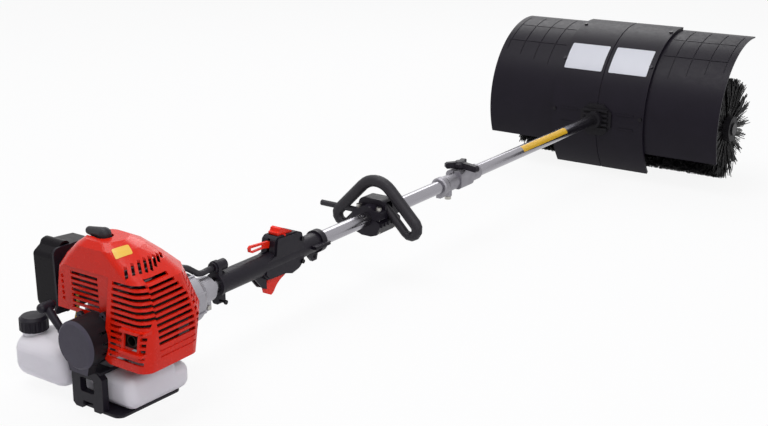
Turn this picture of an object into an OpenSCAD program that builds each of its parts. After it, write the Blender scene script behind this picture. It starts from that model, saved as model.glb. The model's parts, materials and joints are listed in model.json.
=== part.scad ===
// Petrol power brush sweeper: engine at the rear, split shaft with grip and loop handle,
// worm gear head with a hooded nylon brush drum at the front.
// The floor is z = 0 and the stand's foot is at the origin. +X runs forward along the shaft, +Y to the left.
// Most pieces are drawn in the shaft's own frame: u along the shaft, v to the left, w up and square to both.

/* [Shaft] */
// Outside diameter of both shaft tubes
tube_d = 26; // [24:0.5:28]
// Wall of the shaft tubes
tube_wall = 2; // [1.5:0.1:2.5]
// Diameter of the drive shaft inside the tubes
drive_d = 8; // [7:0.5:9]
// Height of the shaft axis over the floor at the stand
shaft_h = 105; // [104:0.5:108]
// Distance from the stand to the brush axis along the shaft
brush_u = 1802; // [1790:1:1830]
// Where the two tubes meet inside the coupler
joint_u = 922; // [915:1:930]

/* [Engine] */
// Wall of the moulded engine shroud
shroud_wall = 2.5; // [2:0.1:3]
// Height of one cooling slot in the shroud
slot_h = 4.8; // [3:0.1:5.2]
// Upright distance from one cooling slot to the next
slot_pitch = 8.4; // [8:0.1:9]
// Diameter of the crankshaft
crank_d = 16; // [14:0.5:18]
// Outside diameter of the fan housing
fan_d = 116; // [110:1:118]
// Outside diameter of the clutch bell
bell_d = 80; // [78:1:84]
// Length of the clutch bell, without its collar
bell_len = 58; // [56:1:62]
// Outside diameter of the clutch drum
drum_d = 69; // [66:0.5:70]
// Side of one cooling fin on the cylinder
fin_side = 74; // [68:1:78]

/* [Starter] */
// Radius of the recoil starter's housing
recoil_r = 36; // [34:0.5:37]
// Radius of the rope groove in the starter's reel
reel_r = 20; // [18:0.5:22]
// Diameter of the starter rope
rope_d = 3.5; // [3:0.1:4]

/* [Tank] */
// Wall of the blow-moulded fuel tank
tank_wall = 2.5; // [2:0.1:3]
// Width of the tank's main block
tank_w = 134; // [128:1:136]
// Outside diameter of the filler neck
neck_d = 34; // [32:0.5:35]
// Outside diameter of the fuel cap
cap_d = 43; // [42:0.5:46]
// Axial rise of the fuel cap in one turn
cap_pitch = 3; // [2:0.5:4]

/* [Grip] */
// Where the rear grip starts, along the shaft
grip_u = 254; // [253:0.5:258]
// Length of the rear grip
grip_len = 209; // [206:1:214]
// Diameter of the round part of the grip
grip_d = 36; // [35:0.5:38]
// Thickness of the switch head on the grip
head_t = 34; // [32:0.5:36]
// Thickness of the throttle trigger
trigger_t = 8; // [7:0.5:9]
// Diameter of the lever and trigger pivots
pivot_d = 6; // [5:0.5:7]

/* [Loop handle] */
// Where the loop handle sits, along the shaft
handle_u = 690; // [650:1:740]
// Diameter of the loop handle's padded bar
handle_d = 22; // [20:0.5:24]
// Diameter of the bare bar in the clamp
bar_d = 16; // [14:0.5:18]
// Length of the handle clamp along the shaft
clamp_len = 66; // [62:1:74]
// Diameter of the clamp bolts
bolt_d = 5; // [4:0.5:6]

/* [Coupler] */
// Outside diameter of the cast shaft coupler
coupler_d = 37; // [36:0.5:40]
// Length of the shaft coupler
coupler_len = 142; // [138:1:150]
// Length of the coupler knob's wings from tip to tip
knob_len = 78; // [70:1:84]

/* [Brush] */
// Diameter of the brush over its bristles
brush_d = 250; // [246:1:260]
// Length of the brush from end to end
brush_len = 546; // [536:1:556]
// Outside diameter of the brush cores
core_d = 60; // [56:1:66]
// Diameter of the brush axle
axle_d = 16; // [15:0.5:18]
// Width of the gear case across the brush
case_w = 48; // [46:1:52]

/* [Hood] */
// Radius of the hood wings' outside
hood_r = 200; // [196:1:206]
// Width of the whole hood
hood_w = 600; // [590:1:620]
// Width of the raised middle band
band_w = 242; // [236:1:250]
// How far the middle band stands proud of the wings
band_rise = 7; // [6:0.5:9]
// Wall of the hood
hood_wall = 3; // [2.5:0.1:3.5]

/* [Fits] */
// Clearance between pieces that are fixed to each other
fit = 0.1; // [0.05:0.01:0.15]
// Radial clearance of running fits
run = 0.05; // [0.02:0.01:0.08]
// Gap between pieces that move past each other
air = 0.4; // [0.3:0.05:0.6]

/* [Hidden] */
$fn = 64;

// Worm gear: a single-start worm over a twenty-tooth wheel
tooth_module = 2;
worm_pitch_r = 8;
wheel_teeth = 20;
wheel_pitch_r = wheel_teeth * tooth_module / 2;
axle_drop = worm_pitch_r + wheel_pitch_r;
worm_lead = PI * tooth_module;
tooth_reach = 1.6;
worm_core_r = 6;
wheel_root_r = axle_drop - worm_pitch_r - tooth_reach - 0.8;

// The shaft rises towards the brush so that the bristles and the stand share one floor
brush_reach = sqrt(brush_u * brush_u + axle_drop * axle_drop);
tilt = atan2(axle_drop, brush_u) + asin((brush_d / 2 - shaft_h) / brush_reach);

// Stations along the shaft
crankcase_u = [14, 112];
fan_u = crankcase_u[1];
fan_len = 44;
bell_u = fan_u + fan_len;
collar_len = 24;
collar_end = bell_u + bell_len + collar_len;
tube_u = bell_u + bell_len + 6;
tube_bore = tube_d - 2 * tube_wall;
tube_seat = tube_d + 2 * fit;
coupler_u = joint_u - 22;
knob_u = joint_u + 59;
pin_u = joint_u + 14;
neck_u = brush_u - 90;
tube_end = neck_u + 38;
worm_u = brush_u - 22;
worm_len = 44;
journal_len = 12;

// Hood: one arc about an axis just ahead of the brush
hood_u = brush_u + 14;
hood_low = -3;
wing_arc = [87, 201];
band_arc = [88, 218];

// Shared helpers

module place() {
    translate([0, 0, shaft_h]) rotate([0, -tilt, 0]) children();
}

module block(lo, hi) {
    translate(lo) cube(hi - lo);
}

module rod_u(u, len, d) {
    translate([u, 0, 0]) rotate([0, 90, 0]) cylinder(h = len, d = d);
}

module rod_v(u, w, v0, v1, d) {
    translate([u, v0, w]) rotate([-90, 0, 0]) cylinder(h = v1 - v0, d = d);
}

module sleeve_u(u, len, d, bore) {
    difference() {
        rod_u(u, len, d);
        rod_u(u - 1, len + 2, bore);
    }
}

// A flat outline in (v, w), drawn out along u
module slab_u(u0, u1) {
    translate([u0, 0, 0]) rotate([90, 0, 90]) linear_extrude(u1 - u0) children();
}

// A flat outline in (u, w), drawn out along v
module slab_v(v0, v1) {
    translate([0, v1, 0]) rotate([90, 0, 0]) linear_extrude(v1 - v0) children();
}

// A turned outline in (radius, u) about the shaft axis
module turned_u() {
    rotate([0, 90, 0]) rotate_extrude() children();
}

// A turned outline in (radius, v) about the brush's kind of axis
module turned_v() {
    rotate([-90, 0, 0]) rotate_extrude() children();
}

module round_rect(lo, hi, r) {
    translate(lo + [r, r]) offset(r = r) square(hi - lo - 2 * [r, r]);
}

// A smooth tube through hand-chosen points, with "side" a direction that the route never takes
function unit(a) = a / norm(a);
function smooth_point(p, i, t) = let (
        a = p[max(i - 1, 0)], b = p[i], c = p[i + 1], d = p[min(i + 2, len(p) - 1)])
    0.5 * (2 * b + (c - a) * t + (2 * a - 5 * b + 4 * c - d) * t * t + (3 * b - a - 3 * c + d) * t * t * t);
function smooth_route(p, steps) = concat(
    [for (i = [0 : len(p) - 2]) for (k = [0 : steps - 1]) smooth_point(p, i, k / steps)], [p[len(p) - 1]]);

module tube_along(route, d, side, sides) {
    n = len(route);
    points = [for (i = [0 : n - 1]) let (
            way = unit(route[min(i + 1, n - 1)] - route[max(i - 1, 0)]),
            a = unit(cross(side, way)),
            b = cross(way, a))
        for (k = [0 : sides - 1]) route[i] + d / 2 * (cos(k * 360 / sides) * a + sin(k * 360 / sides) * b)];
    walls = [for (i = [0 : n - 2]) for (k = [0 : sides - 1]) let (
            p = i * sides + k, q = i * sides + (k + 1) % sides)
        each [[p, p + sides, q + sides], [p, q + sides, q]]];
    ends = [[for (k = [0 : sides - 1]) k], [for (k = [0 : sides - 1]) n * sides - 1 - k]];
    polyhedron(points, concat(walls, ends));
}

// A closed ring of tube through flat points [v, w, diameter]
module tube_ring(route, sides) {
    n = len(route);
    points = [for (i = [0 : n - 1]) let (
            next = route[(i + 1) % n],
            last = route[(i + n - 1) % n],
            way = unit([0, next[0] - last[0], next[1] - last[1]]),
            b = cross(way, [1, 0, 0]))
        for (k = [0 : sides - 1]) [0, route[i][0], route[i][1]]
            + route[i][2] / 2 * (cos(k * 360 / sides) * [1, 0, 0] - sin(k * 360 / sides) * b)];
    walls = [for (i = [0 : n - 1]) for (k = [0 : sides - 1]) let (
            m = (i + 1) % n, j = (k + 1) % sides)
        each [[i * sides + k, m * sides + j, m * sides + k], [i * sides + k, i * sides + j, m * sides + j]]];
    polyhedron(points, walls);
}

// A screw along -z with its head's seat at the origin
module screw(d, len, head_d, head_h) {
    translate([0, 0, -len]) cylinder(h = len + head_h / 2, d = d);
    cylinder(h = head_h, d = head_d);
}

// Engine shroud: a moulded cover lofted through outlines at rising heights

bulge_v = -29;
panel_low = 26;
panel_top = 94;
panel_u = 16;
shroud_levels = [
    [-26, 18, [[-4, -26], [-4, -111], [103, -111], [103, -26]]],
    [-14, 18, [[-3, -26], [-3, -111], [103, -111], [103, -26]]],
    [26, 20, [[4, 84], [4, -108], [108, -106], [147, -70], [164, -30], [164, 40], [122, 84]]],
    [88, 22, [[14, 84], [14, -92], [98, -88], [128, -56], [142, -20], [142, 40], [112, 84]]],
    [108, 24, [[17, 70], [17, -52], [46, -70], [90, -66], [114, -34], [122, 28], [102, 70]]],
    [126, 22, [[20, 50], [20, -26], [56, -44], [84, -36], [98, -10], [98, 28], [84, 50]]],
    [135, 18, [[28, 38], [28, -12], [56, -22], [80, -12], [82, 24], [70, 38]]],
];

module shroud_form(inset) {
    hull() for (level = shroud_levels)
        translate([0, 0, level[0] - inset]) linear_extrude(0.5)
            offset(r = level[1], $fn = 32) offset(delta = -level[1] - inset) polygon(level[2]);
}

module shroud_shell() {
    w = shroud_wall;
    difference() {
        shroud_form(0);
        difference() {
            shroud_form(w);
            block([-60, bulge_v - w, -120], [260, 160, panel_low]);
            block([-60, bulge_v - w, panel_low - 1], [panel_u + w, 160, panel_top + w]);
        }
        block([-60, bulge_v, -120], [260, 160, panel_low]);
        block([-60, bulge_v, panel_low - 1], [panel_u, 160, panel_top]);
    }
}

exhaust_v = [-91, -66];
exhaust_w = [2, 28];

module shroud_slots() {
    for (i = [0 : 12]) {
        w = -15 + i * slot_pitch;
        at_window = w + slot_h > exhaust_w[0] - 6 && w < exhaust_w[1] + 6;
        // Rear face, parted by the exhaust window
        if (at_window) {
            block([-20, exhaust_v[1] + 5, w], [30, bulge_v - 8, w + slot_h]);
            block([-20, -103, w], [30, exhaust_v[0] - 4, w + slot_h]);
        } else {
            block([-20, -103, w], [30, bulge_v - 8, w + slot_h]);
        }
        // Right side: two blind grooves low down, open slots above them
        if (i < 2) {
            difference() {
                block([26, -130, w + 6], [96, -70, w + 4 + slot_h]);
                shroud_form(shroud_wall / 2);
            }
        } else {
            block([25 + i / 2, -130, w + 6], [min(98, 146 - i * 6), -70, w + 6 + slot_h]);
        }
        // Short slots before and round the front corner
        if (i > 0 && i < 11) {
            block([103, -130, w + 6], [111, -70, w + 6 + slot_h]);
            translate([128, -88, 0]) rotate([0, 0, 41]) block([-13, -14, w + 6], [13, 26, w + 6 + slot_h]);
        }
    }
    for (i = [0 : 6])
        block([-20, bulge_v + 24, 32 + i * slot_pitch], [40, 50, 32 + slot_h + i * slot_pitch]);
    for (i = [0 : 7])
        translate([22 + i * 9.4, -57 - 9 * sin(i * 25), 0]) rotate([0, 0, -36])
            block([-2.2, abs(i - 3.5) * 1.5 - 13, 60], [2.2, 11 - abs(i - 3.5) * 1.5, 150]);
}

// A lip that follows the shroud's outside between two heights
module shroud_lip(w0, w1, v0, v1) {
    intersection() {
        shroud_form(-5);
        block([-20, v0, w0], [20, v1, w1]);
    }
}

module engine_shroud() color("firebrick") place() difference() {
    union() {
        shroud_shell();
        // Visor and sill of the exhaust window
        difference() {
            union() {
                shroud_lip(exhaust_w[1], exhaust_w[1] + 4, -105, exhaust_v[1] + 4);
                shroud_lip(exhaust_w[0] - 4, exhaust_w[0], -105, exhaust_v[1] + 4);
            }
            shroud_form(shroud_wall);
        }
    }
    shroud_slots();
    block([-20, exhaust_v[0], exhaust_w[0]], [30, exhaust_v[1], exhaust_w[1]]);
    // Round clearances for the starter and the fan housing
    rod_u(-20, crankcase_u[0] + 20 + air, 2 * (recoil_r + air));
    rod_u(fan_u - 4, 90, fan_d + 4 * fit);
    block([fan_u - 4, coil_v[0] - 4, 20], [fan_u + 36, coil_v[1] + 4, coil_seat + 18]);
    // Ways through for the carburettor, the plug boot and the throttle cable
    block([carb_u[0] - 4, 60, panel_low - 5], [carb_u[1] + 4, 120, carb_w[1] + 4]);
    translate([plug_u, plug_v, 100]) cylinder(h = 60, d = boot_d + 4);
    block([plug_u - boot_d / 2, plug_v, boot_w - boot_d / 2], [plug_u + boot_d / 2, plug_v + elbow_v + 10, 160]);
    for (i = [0 : 4])
        translate([10, 68, 42 + i * slot_pitch]) rotate([0, 90, 0]) cylinder(h = panel_u + 2 - 10, d = 6);
    tube_along(smooth_route([for (i = [0 : 4]) cable_route[i]], 4), cable_d + 2 * air, [0, 1, 0], 12);
}

// Crankcase and what turns in it

case_v = [-28, 42];
case_low = -43;
deck_w = 30;

module crankcase() color("dimgray") place() difference() {
    union() {
        slab_u(crankcase_u[0], crankcase_u[1]) union() {
            round_rect([case_v[0], case_low], [case_v[1], deck_w - 4], 10);
            translate([case_v[0] + 2, 0]) square([case_v[1] - case_v[0] - 4, deck_w - 4]);
        }
        block([cyl_u - 34, case_v[0] + 2, deck_w - 4], [cyl_u + 34, case_v[1] - 2, deck_w]);
    }
    rod_u(crankcase_u[0] - 1, crankcase_u[1] + 2, crank_d + 2 * run);
    // Cooling ribs cut into the left side
    for (i = [0 : 4])
        block([crankcase_u[0] + 12 + i * 17, case_v[1] - 3, case_low + 12],
            [crankcase_u[0] + 24 + i * 17, case_v[1] + 1, 16]);
}

crank_end = bell_u + 28;

module crankshaft() color("silver") place() {
    rod_u(-8, crank_end + 8, crank_d);
    rod_u(2, 8, crank_d + 14);
}

flywheel_r = fan_d / 2 - 9;

module flywheel() color("lightgray") place() difference() {
    union() {
        rod_u(fan_u + 10, 8, 2 * flywheel_r);
        rod_u(fan_u + 5, 22, crank_d + 20);
        for (i = [0 : 15]) rotate([i * 22.5, 0, 0])
            block([fan_u + 17, -1.5, crank_d], [fan_u + 33, 1.5, flywheel_r]);
    }
    rod_u(fan_u, fan_len, crank_d + 2 * fit);
}

coil_v = [20, 42];
coil_seat = fan_d / 2 + 2;

module fan_housing() color("gray") place() difference() {
    union() {
        rod_u(fan_u, fan_len, fan_d);
        // Flat pad for the ignition coil
        block([fan_u + 6, coil_v[0] - 3, fan_d / 2 - 20], [fan_u + 32, coil_v[1] + 1, coil_seat]);
    }
    rod_u(fan_u + 3, fan_len - 7, fan_d - 6);
    rod_u(fan_u - 1, fan_len + 2, crank_d + 24);
    // Cooling air leaves the scroll upwards to the cylinder
    block([fan_u + 8, -26, fan_d / 2 - 14], [fan_u + fan_len - 10, 12, fan_d / 2 + 4]);
    // Way in for the coil's leg
    block([fan_u + 9, 25, 0], [fan_u + 19, 35, fan_d / 2 + 4]);
    bell_screw_places() rod_u(-20, 30, screw_d + 2 * fit);
}

coil_gap = 0.6;

module ignition_coil() color("black") place() {
    foot = sqrt((flywheel_r + coil_gap) * (flywheel_r + coil_gap) - 26 * 26);
    block([fan_u + 10, 26, foot], [fan_u + 18, 34, coil_seat + 1]);
    block([fan_u + 8, coil_v[0], coil_seat], [fan_u + 30, coil_v[1], coil_seat + 16]);
}

module clutch_shoes() color("dimgray") place() difference() {
    union() {
        rod_u(bell_u + 12, 16, crank_d + 12);
        difference() {
            rod_u(bell_u + 10, 18, drum_d - 2 * drum_wall - 2.4);
            rod_u(bell_u + 9, 20, crank_d + 22);
            for (a = [0, 60, 120]) rotate([a, 0, 0]) block([bell_u, -3, -50], [bell_u + 40, 3, 50]);
        }
        for (a = [30, 90, 150]) rotate([a, 0, 0]) block([bell_u + 14, -5, -26], [bell_u + 26, 5, 26]);
    }
    rod_u(bell_u, 60, crank_d + 2 * fit);
}

drum_wall = 2;
hub_d = 20;
drum_u = bell_u + 8;
drum_len = 26;

module clutch_drum() color("silver") place() difference() {
    union() {
        difference() {
            rod_u(drum_u, drum_len, drum_d);
            rod_u(drum_u - 1, drum_len - 2, drum_d - 2 * drum_wall);
        }
        rod_u(drum_u + drum_len - 3, 22, hub_d);
    }
    rod_u(crank_end + 2, 40, drive_d + 2 * fit);
}

// Clutch bell: a turned cast bell that narrows to a split collar round the tube
screw_d = 4;
flange_t = 6;
flange_d = bell_d + 18;

module bell_screw_places() {
    for (a = [45 : 90 : 315]) rotate([a, 0, 0]) translate([bell_u, 0, bell_d / 2 + 4]) children();
}

module clutch_housing() color("darkgray") place() difference() {
    union() {
        turned_u() polygon([[0, bell_u], [bell_d / 2, bell_u], [bell_d / 2, bell_u + bell_len - 22],
            [bell_d / 2 - 4, bell_u + bell_len - 16], [tube_d / 2 + 9, bell_u + bell_len],
            [tube_d / 2 + 7, collar_end], [0, collar_end]]);
        rod_u(bell_u, flange_t, flange_d);
        // Stiffening ribs along the bell
        for (a = [22.5 : 45 : 337.5]) rotate([a, 0, 0])
            block([bell_u, -1.5, 10], [bell_u + bell_len - 20, 1.5, bell_d / 2 + 2]);
        // Lug of the split collar
        block([collar_end - 17, -8, -tube_d / 2 - 20], [collar_end - 2, 8, -tube_d / 2]);
    }
    rod_u(bell_u - 1, 40, bell_d - 8);
    rod_u(bell_u, bell_len + 8, hub_d + 2 * run);
    rod_u(tube_u, 60, tube_seat);
    block([collar_end - 22, -1, -60], [collar_end + 1, 1, 0]);
    rod_v(collar_end - 9.5, -tube_d / 2 - 14, -20, 20, screw_d + 2 * fit);
    bell_screw_places() rod_u(-1, flange_t + 2, screw_d + 2 * fit);
}

// Cylinder with square cooling fins, plug and boot
cyl_u = 62;
cyl_top = 106;
plug_u = 52;
plug_v = 14;
plug_d = 20;
boot_d = 22;
boot_w = cyl_top + 32;
elbow_v = 30;

module engine_cylinder() color("silver") place() difference() {
    union() {
        translate([cyl_u, 6, deck_w]) cylinder(h = cyl_top - deck_w, d = 44);
        for (i = [0 : 7]) translate([0, 0, deck_w + 10 + i * 9])
            linear_extrude(2.4) round_rect([cyl_u - fin_side / 2, 6 - fin_side / 2],
                [cyl_u + fin_side / 2, 6 + fin_side / 2 - 6], 8);
        block([cyl_u - 30, -24, deck_w], [cyl_u + 30, 38, deck_w + 5]);
    }
    translate([plug_u, plug_v, cyl_top - 12]) cylinder(h = 20, d = 14 + 2 * fit);
}

module spark_plug() color("white") place() {
    translate([plug_u, plug_v, cyl_top - 12]) cylinder(h = 14, d = 14);
    translate([plug_u, plug_v, cyl_top + air / 4]) cylinder(h = 8, d = plug_d, $fn = 6);
    translate([plug_u, plug_v, cyl_top + 8]) cylinder(h = 24, d = 10);
}

module spark_plug_boot() color("black") place() difference() {
    union() {
        // Elbow to the left, towards the coil's lead
        translate([plug_u, plug_v, 0]) rotate([0, 0, -90]) {
            translate([0, 0, cyl_top + 13]) cylinder(h = boot_w - cyl_top - 13, d = boot_d - 2);
            translate([0, 0, boot_w]) sphere(d = boot_d - 2);
            translate([-elbow_v, 0, boot_w]) rotate([0, 90, 0]) cylinder(h = elbow_v, d1 = 12, d2 = boot_d - 2);
            translate([-elbow_v, 0, boot_w]) sphere(d = 12);
        }
    }
    translate([plug_u, plug_v, cyl_top]) cylinder(h = 32 + fit, d = 10 + 2 * fit);
}

// Muffler behind the slotted bulge
muffler_u = [20, 84];
muffler_v = [-88, -44];

module muffler() color("gray") place() difference() {
    union() {
        slab_v(muffler_v[0], muffler_v[1]) round_rect([muffler_u[0], -10], [muffler_u[1], 64], 9);
        translate([4, (exhaust_v[0] + exhaust_v[1]) / 2, 15]) rotate([0, 90, 0])
            cylinder(h = muffler_u[0] - 3, d = 17);
        block([cyl_u - 14, muffler_v[1] - 1, deck_w + 12], [cyl_u + 14, 6 - fin_side / 2 - fit, deck_w + 32]);
    }
    slab_v(muffler_v[0] + 2, muffler_v[1] - 2) round_rect([muffler_u[0] + 2, -8], [muffler_u[1] - 2, 62], 7);
    translate([0, (exhaust_v[0] + exhaust_v[1]) / 2, 15]) rotate([0, 90, 0])
        cylinder(h = muffler_u[0] + 6, d = 14);
}

// Carburettor and air cleaner on the left side
carb_u = [42, 88];
carb_w = [38, 76];
carb_v = 6 + fin_side / 2 - 6 + fit;
filter_v = 100;
filter_u = [30, 112];
filter_w = [4, 104];
cover_v = 152;

primer_v = 91.5;
primer_w = 56;
primer_d = 8;

module carburettor() color("silver") place() difference() {
    union() {
        block([carb_u[0] + 8, carb_v, carb_w[0] + 6], [carb_u[1] - 8, 62, carb_w[1] - 6]);
        slab_v(62, filter_v) round_rect([carb_u[0], carb_w[0]], [carb_u[1], carb_w[1]], 5);
    }
    // Bore of the primer's plunger
    translate([carb_u[0] - 1, primer_v, primer_w]) rotate([0, 90, 0])
        cylinder(h = 12, d = primer_d + 2 * run);
    translate([line_top[0], line_top[1], carb_w[0] - 5]) cylinder(h = 12, d = line_d + 2 * fit);
}

module primer_bulb() color("maroon") place() translate([carb_u[0] - 6, primer_v, primer_w]) {
    rotate([0, 90, 0]) cylinder(h = 9, d = primer_d);
    intersection() {
        sphere(d = 14);
        block([-20, -20, -20], [0, 20, 20]);
    }
}

module air_filter_base() color("black") place() difference() {
    slab_v(filter_v, filter_v + 4) round_rect([filter_u[0], filter_w[0]], [filter_u[1], filter_w[1]], 10);
    rod_v(65, 57, filter_v - 1, filter_v + 5, 20);
    rod_v(choke_u, choke_w, filter_v - 1, filter_v + 5, pivot_d + 2 * run);
}

module air_filter_element() color("dimgray") place() {
    slab_v(filter_v + 4, filter_v + 22)
        round_rect([filter_u[0] + 12, filter_w[0] + 26], [filter_u[1] - 8, filter_w[1] - 10], 6);
}

module cover_outline(inset) {
    offset(delta = -inset) offset(r = 10) offset(delta = -10)
        polygon([[filter_u[0], filter_w[0] + 6], [filter_u[0] + 12, filter_w[0]],
            [filter_u[1] - 4, filter_w[0]], [filter_u[1], filter_w[0] + 16],
            [filter_u[1], filter_w[1] - 4], [filter_u[0] + 34, filter_w[1]],
            [filter_u[0] + 28, filter_w[1] + 7], [filter_u[0] + 18, filter_w[1] + 6],
            [filter_u[0] + 14, filter_w[1] - 3], [filter_u[0], filter_w[1] - 12]]);
}

module air_filter_cover() color("black") place() difference() {
    union() {
        slab_v(filter_v + 4, cover_v - 8) cover_outline(0);
        slab_v(cover_v - 8.1, cover_v - 3) cover_outline(3);
        slab_v(cover_v - 3.1, cover_v) cover_outline(8);
    }
    slab_v(filter_v + 3, cover_v - 12) cover_outline(3);
}

choke_u = 37;
choke_w = 16;

module choke_lever() color("black") place() {
    rod_v(choke_u, choke_w, filter_v - 9, filter_v + 3.6, pivot_d);
    translate([choke_u, filter_v - 9, choke_w]) rotate([90, 0, 0]) linear_extrude(4) union() {
        circle(d = 13);
        translate([-22, -5]) round_rect([0, 0], [24, 10], 4);
    }
}

// Recoil starter
recoil_face_u = -30;
rope_way = [0, sqrt(0.5), sqrt(0.5)];
rope_start = reel_r * [0, sqrt(0.5), -sqrt(0.5)];
rope_u = -17;
rope_out = sqrt(recoil_r * recoil_r - reel_r * reel_r) + 6;
post_d = 12;

module along_rope(t) {
    translate([rope_u, 0, 0] + rope_start + t * rope_way) rotate([-45, 0, 0]) children();
}

module recoil_housing() color([0.12, 0.12, 0.13]) place() difference() {
    union() {
        turned_u() polygon([[0, recoil_face_u], [recoil_r - 4, recoil_face_u], [recoil_r, recoil_face_u + 4],
            [recoil_r, crankcase_u[0]], [0, crankcase_u[0]]]);
        // Tab under the face, over the stand
        slab_u(recoil_face_u + 4, recoil_face_u + 18) polygon([[-24, -20], [24, -20], [18, -42], [-18, -42]]);
        // Rope eyelet
        along_rope(rope_out - 14) cylinder(h = 14, d = rope_d + 9);
        // Screw ears against the crankcase
        for (v = [-18, 30]) rod_ear(v);
    }
    turned_u() polygon([[post_d / 2, recoil_face_u + 3], [recoil_r - 6, recoil_face_u + 3],
        [recoil_r - 3, recoil_face_u + 6], [recoil_r - 3, crankcase_u[0] + 1], [0, crankcase_u[0] + 1],
        [0, rope_u + 8], [post_d / 2, rope_u + 8]]);
    along_rope(-4) cylinder(h = 80, d = rope_d + 2 * air);
    for (v = [-18, 30]) translate([crankcase_u[0] - 6, v, recoil_ear(v)]) rotate([0, 90, 0])
        cylinder(h = 8, d = screw_d + 2 * fit);
    // Cooling slits round the drum wall
    for (a = [60 : 24 : 300]) rotate([a, 0, 0]) block([-10, -2, recoil_r - 8], [4, 2, recoil_r + 2]);
}

function recoil_ear(v) = sqrt((recoil_r + 3) * (recoil_r + 3) - v * v);

module rod_ear(v) {
    translate([crankcase_u[0] - 5, v, recoil_ear(v)]) rotate([0, 90, 0]) cylinder(h = 5, d = 13);
}

module recoil_reel() color("dimgray") place() difference() {
    union() {
        rod_u(rope_u - 5, 2.4, 2 * reel_r + 14);
        rod_u(rope_u - 5, 10, 2 * (reel_r - rope_d / 2 - air / 2));
        rod_u(rope_u + 2.6, 2.4, 2 * reel_r + 14);
    }
    rod_u(rope_u - 6, 12, post_d + 2 * run);
}

module starter_rope() color("gainsboro") place() {
    along_rope(0) cylinder(h = rope_out + 12, d = rope_d);
}

module starter_grip() color("black") place() difference() {
    along_rope(rope_out + air) union() {
        cylinder(h = 36, d1 = 11, d2 = 13);
        translate([-8, 0, 39]) rotate([0, 90, 0]) cylinder(h = 16, d = 15);
        for (x = [-8, 8]) translate([x, 0, 39]) sphere(d = 15);
    }
    along_rope(rope_out) cylinder(h = 12 + fit, d = rope_d + 2 * fit);
}

// Fuel tank: a blow-moulded block under the engine with a raised lobe on the left for the filler
tray_t = 4;
tank_x = [10, 106];
tank_v = [-66, tank_w - 66];
tank_top = shaft_h + case_low - 6;
tank_front = [130, shaft_h - fan_d / 2 - 1];
lobe_x = [-16, 62];
lobe_v = 160;
lobe_z = [14, 80];
cap_x = 14;
cap_v = 138;
neck_top = lobe_z[1] + 13;

module rounded_block(lo, hi, r) {
    hull() for (x = [lo[0] + r, hi[0] - r]) for (y = [lo[1] + r, hi[1] - r]) for (z = [lo[2] + r, hi[2] - r])
        translate([x, y, z]) sphere(r = r, $fn = 28);
}

module tank_form(inset) {
    r = 16 - inset;
    rounded_block([tank_x[0] + inset, tank_v[0] + inset, tray_t + inset],
        [tank_x[1] - inset, tank_v[1] - inset, tank_top - inset], r);
    rounded_block([lobe_x[0] + inset, tank_v[1] - 22 + inset, lobe_z[0] + inset],
        [lobe_x[1] - inset, lobe_v - inset, lobe_z[1] - inset], r + 8);
    // Lower front end, under the fan housing
    rounded_block([tank_x[1] - 36 + inset, tank_v[0] + inset, tray_t + inset],
        [tank_front[0] - inset, tank_v[1] - inset, tank_front[1] - inset], r);
}

module fuel_tank() color("whitesmoke") difference() {
    union() {
        tank_form(0);
        translate([cap_x, cap_v, lobe_z[1] - 20]) cylinder(h = neck_top - lobe_z[1] + 20, d = neck_d);
    }
    tank_form(tank_wall);
    translate([cap_x, cap_v, lobe_z[1] - 20]) cylinder(h = 60, d = neck_d - 6);
    place() translate([line_foot[0], line_foot[1], -45]) cylinder(h = 40, d = line_d + 2 * fit);
}

gasket_t = 2.5;
cap_low = neck_top - 10;
cap_h = 22;

module fuel_cap_gasket() color("black") {
    translate([cap_x, cap_v, neck_top]) difference() {
        cylinder(h = gasket_t, d = neck_d);
        translate([0, 0, -1]) cylinder(h = gasket_t + 2, d = neck_d - 12);
    }
}

module fuel_cap() color([0.1, 0.1, 0.1]) translate([cap_x, cap_v, 0]) difference() {
    rotate_extrude() polygon([[0, cap_low], [cap_d / 2 - 1, cap_low], [cap_d / 2, cap_low + 1],
        [cap_d / 2, cap_low + cap_h - 4], [cap_d / 2 - 4, cap_low + cap_h], [0, cap_low + cap_h]]);
    translate([0, 0, cap_low - 1]) cylinder(h = 11 + gasket_t + air, d = neck_d + 2 * air);
    for (a = [0 : 20 : 340]) rotate([0, 0, a]) translate([cap_d / 2 + 1, 0, cap_low - 1])
        cylinder(h = cap_h - 5, d = 5);
}

// Fuel line from the tank's lobe to the carburettor
line_d = 5;
line_foot = [44, 86];
line_top = [50, 80];
line_route = [[44, 86, -34], [44, 86, -28], [44, 86, -22], [46, 84, -8], [49, 81, 8], [50, 80, 20],
    [50, 80, 28], [50, 80, 36], [50, 80, 43]];

module fuel_line() color("goldenrod") place() {
    tube_along(smooth_route(line_route, 2), line_d, [1, 0, 0], 10);
}

// Stand: two legs behind the tank, a tray below it and a plate that bolts under the crankcase
stand_x = [-9, 2];
stand_v = 31;
stand_mid = 3;
leg_v = 12;
window_v = 14;

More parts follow.
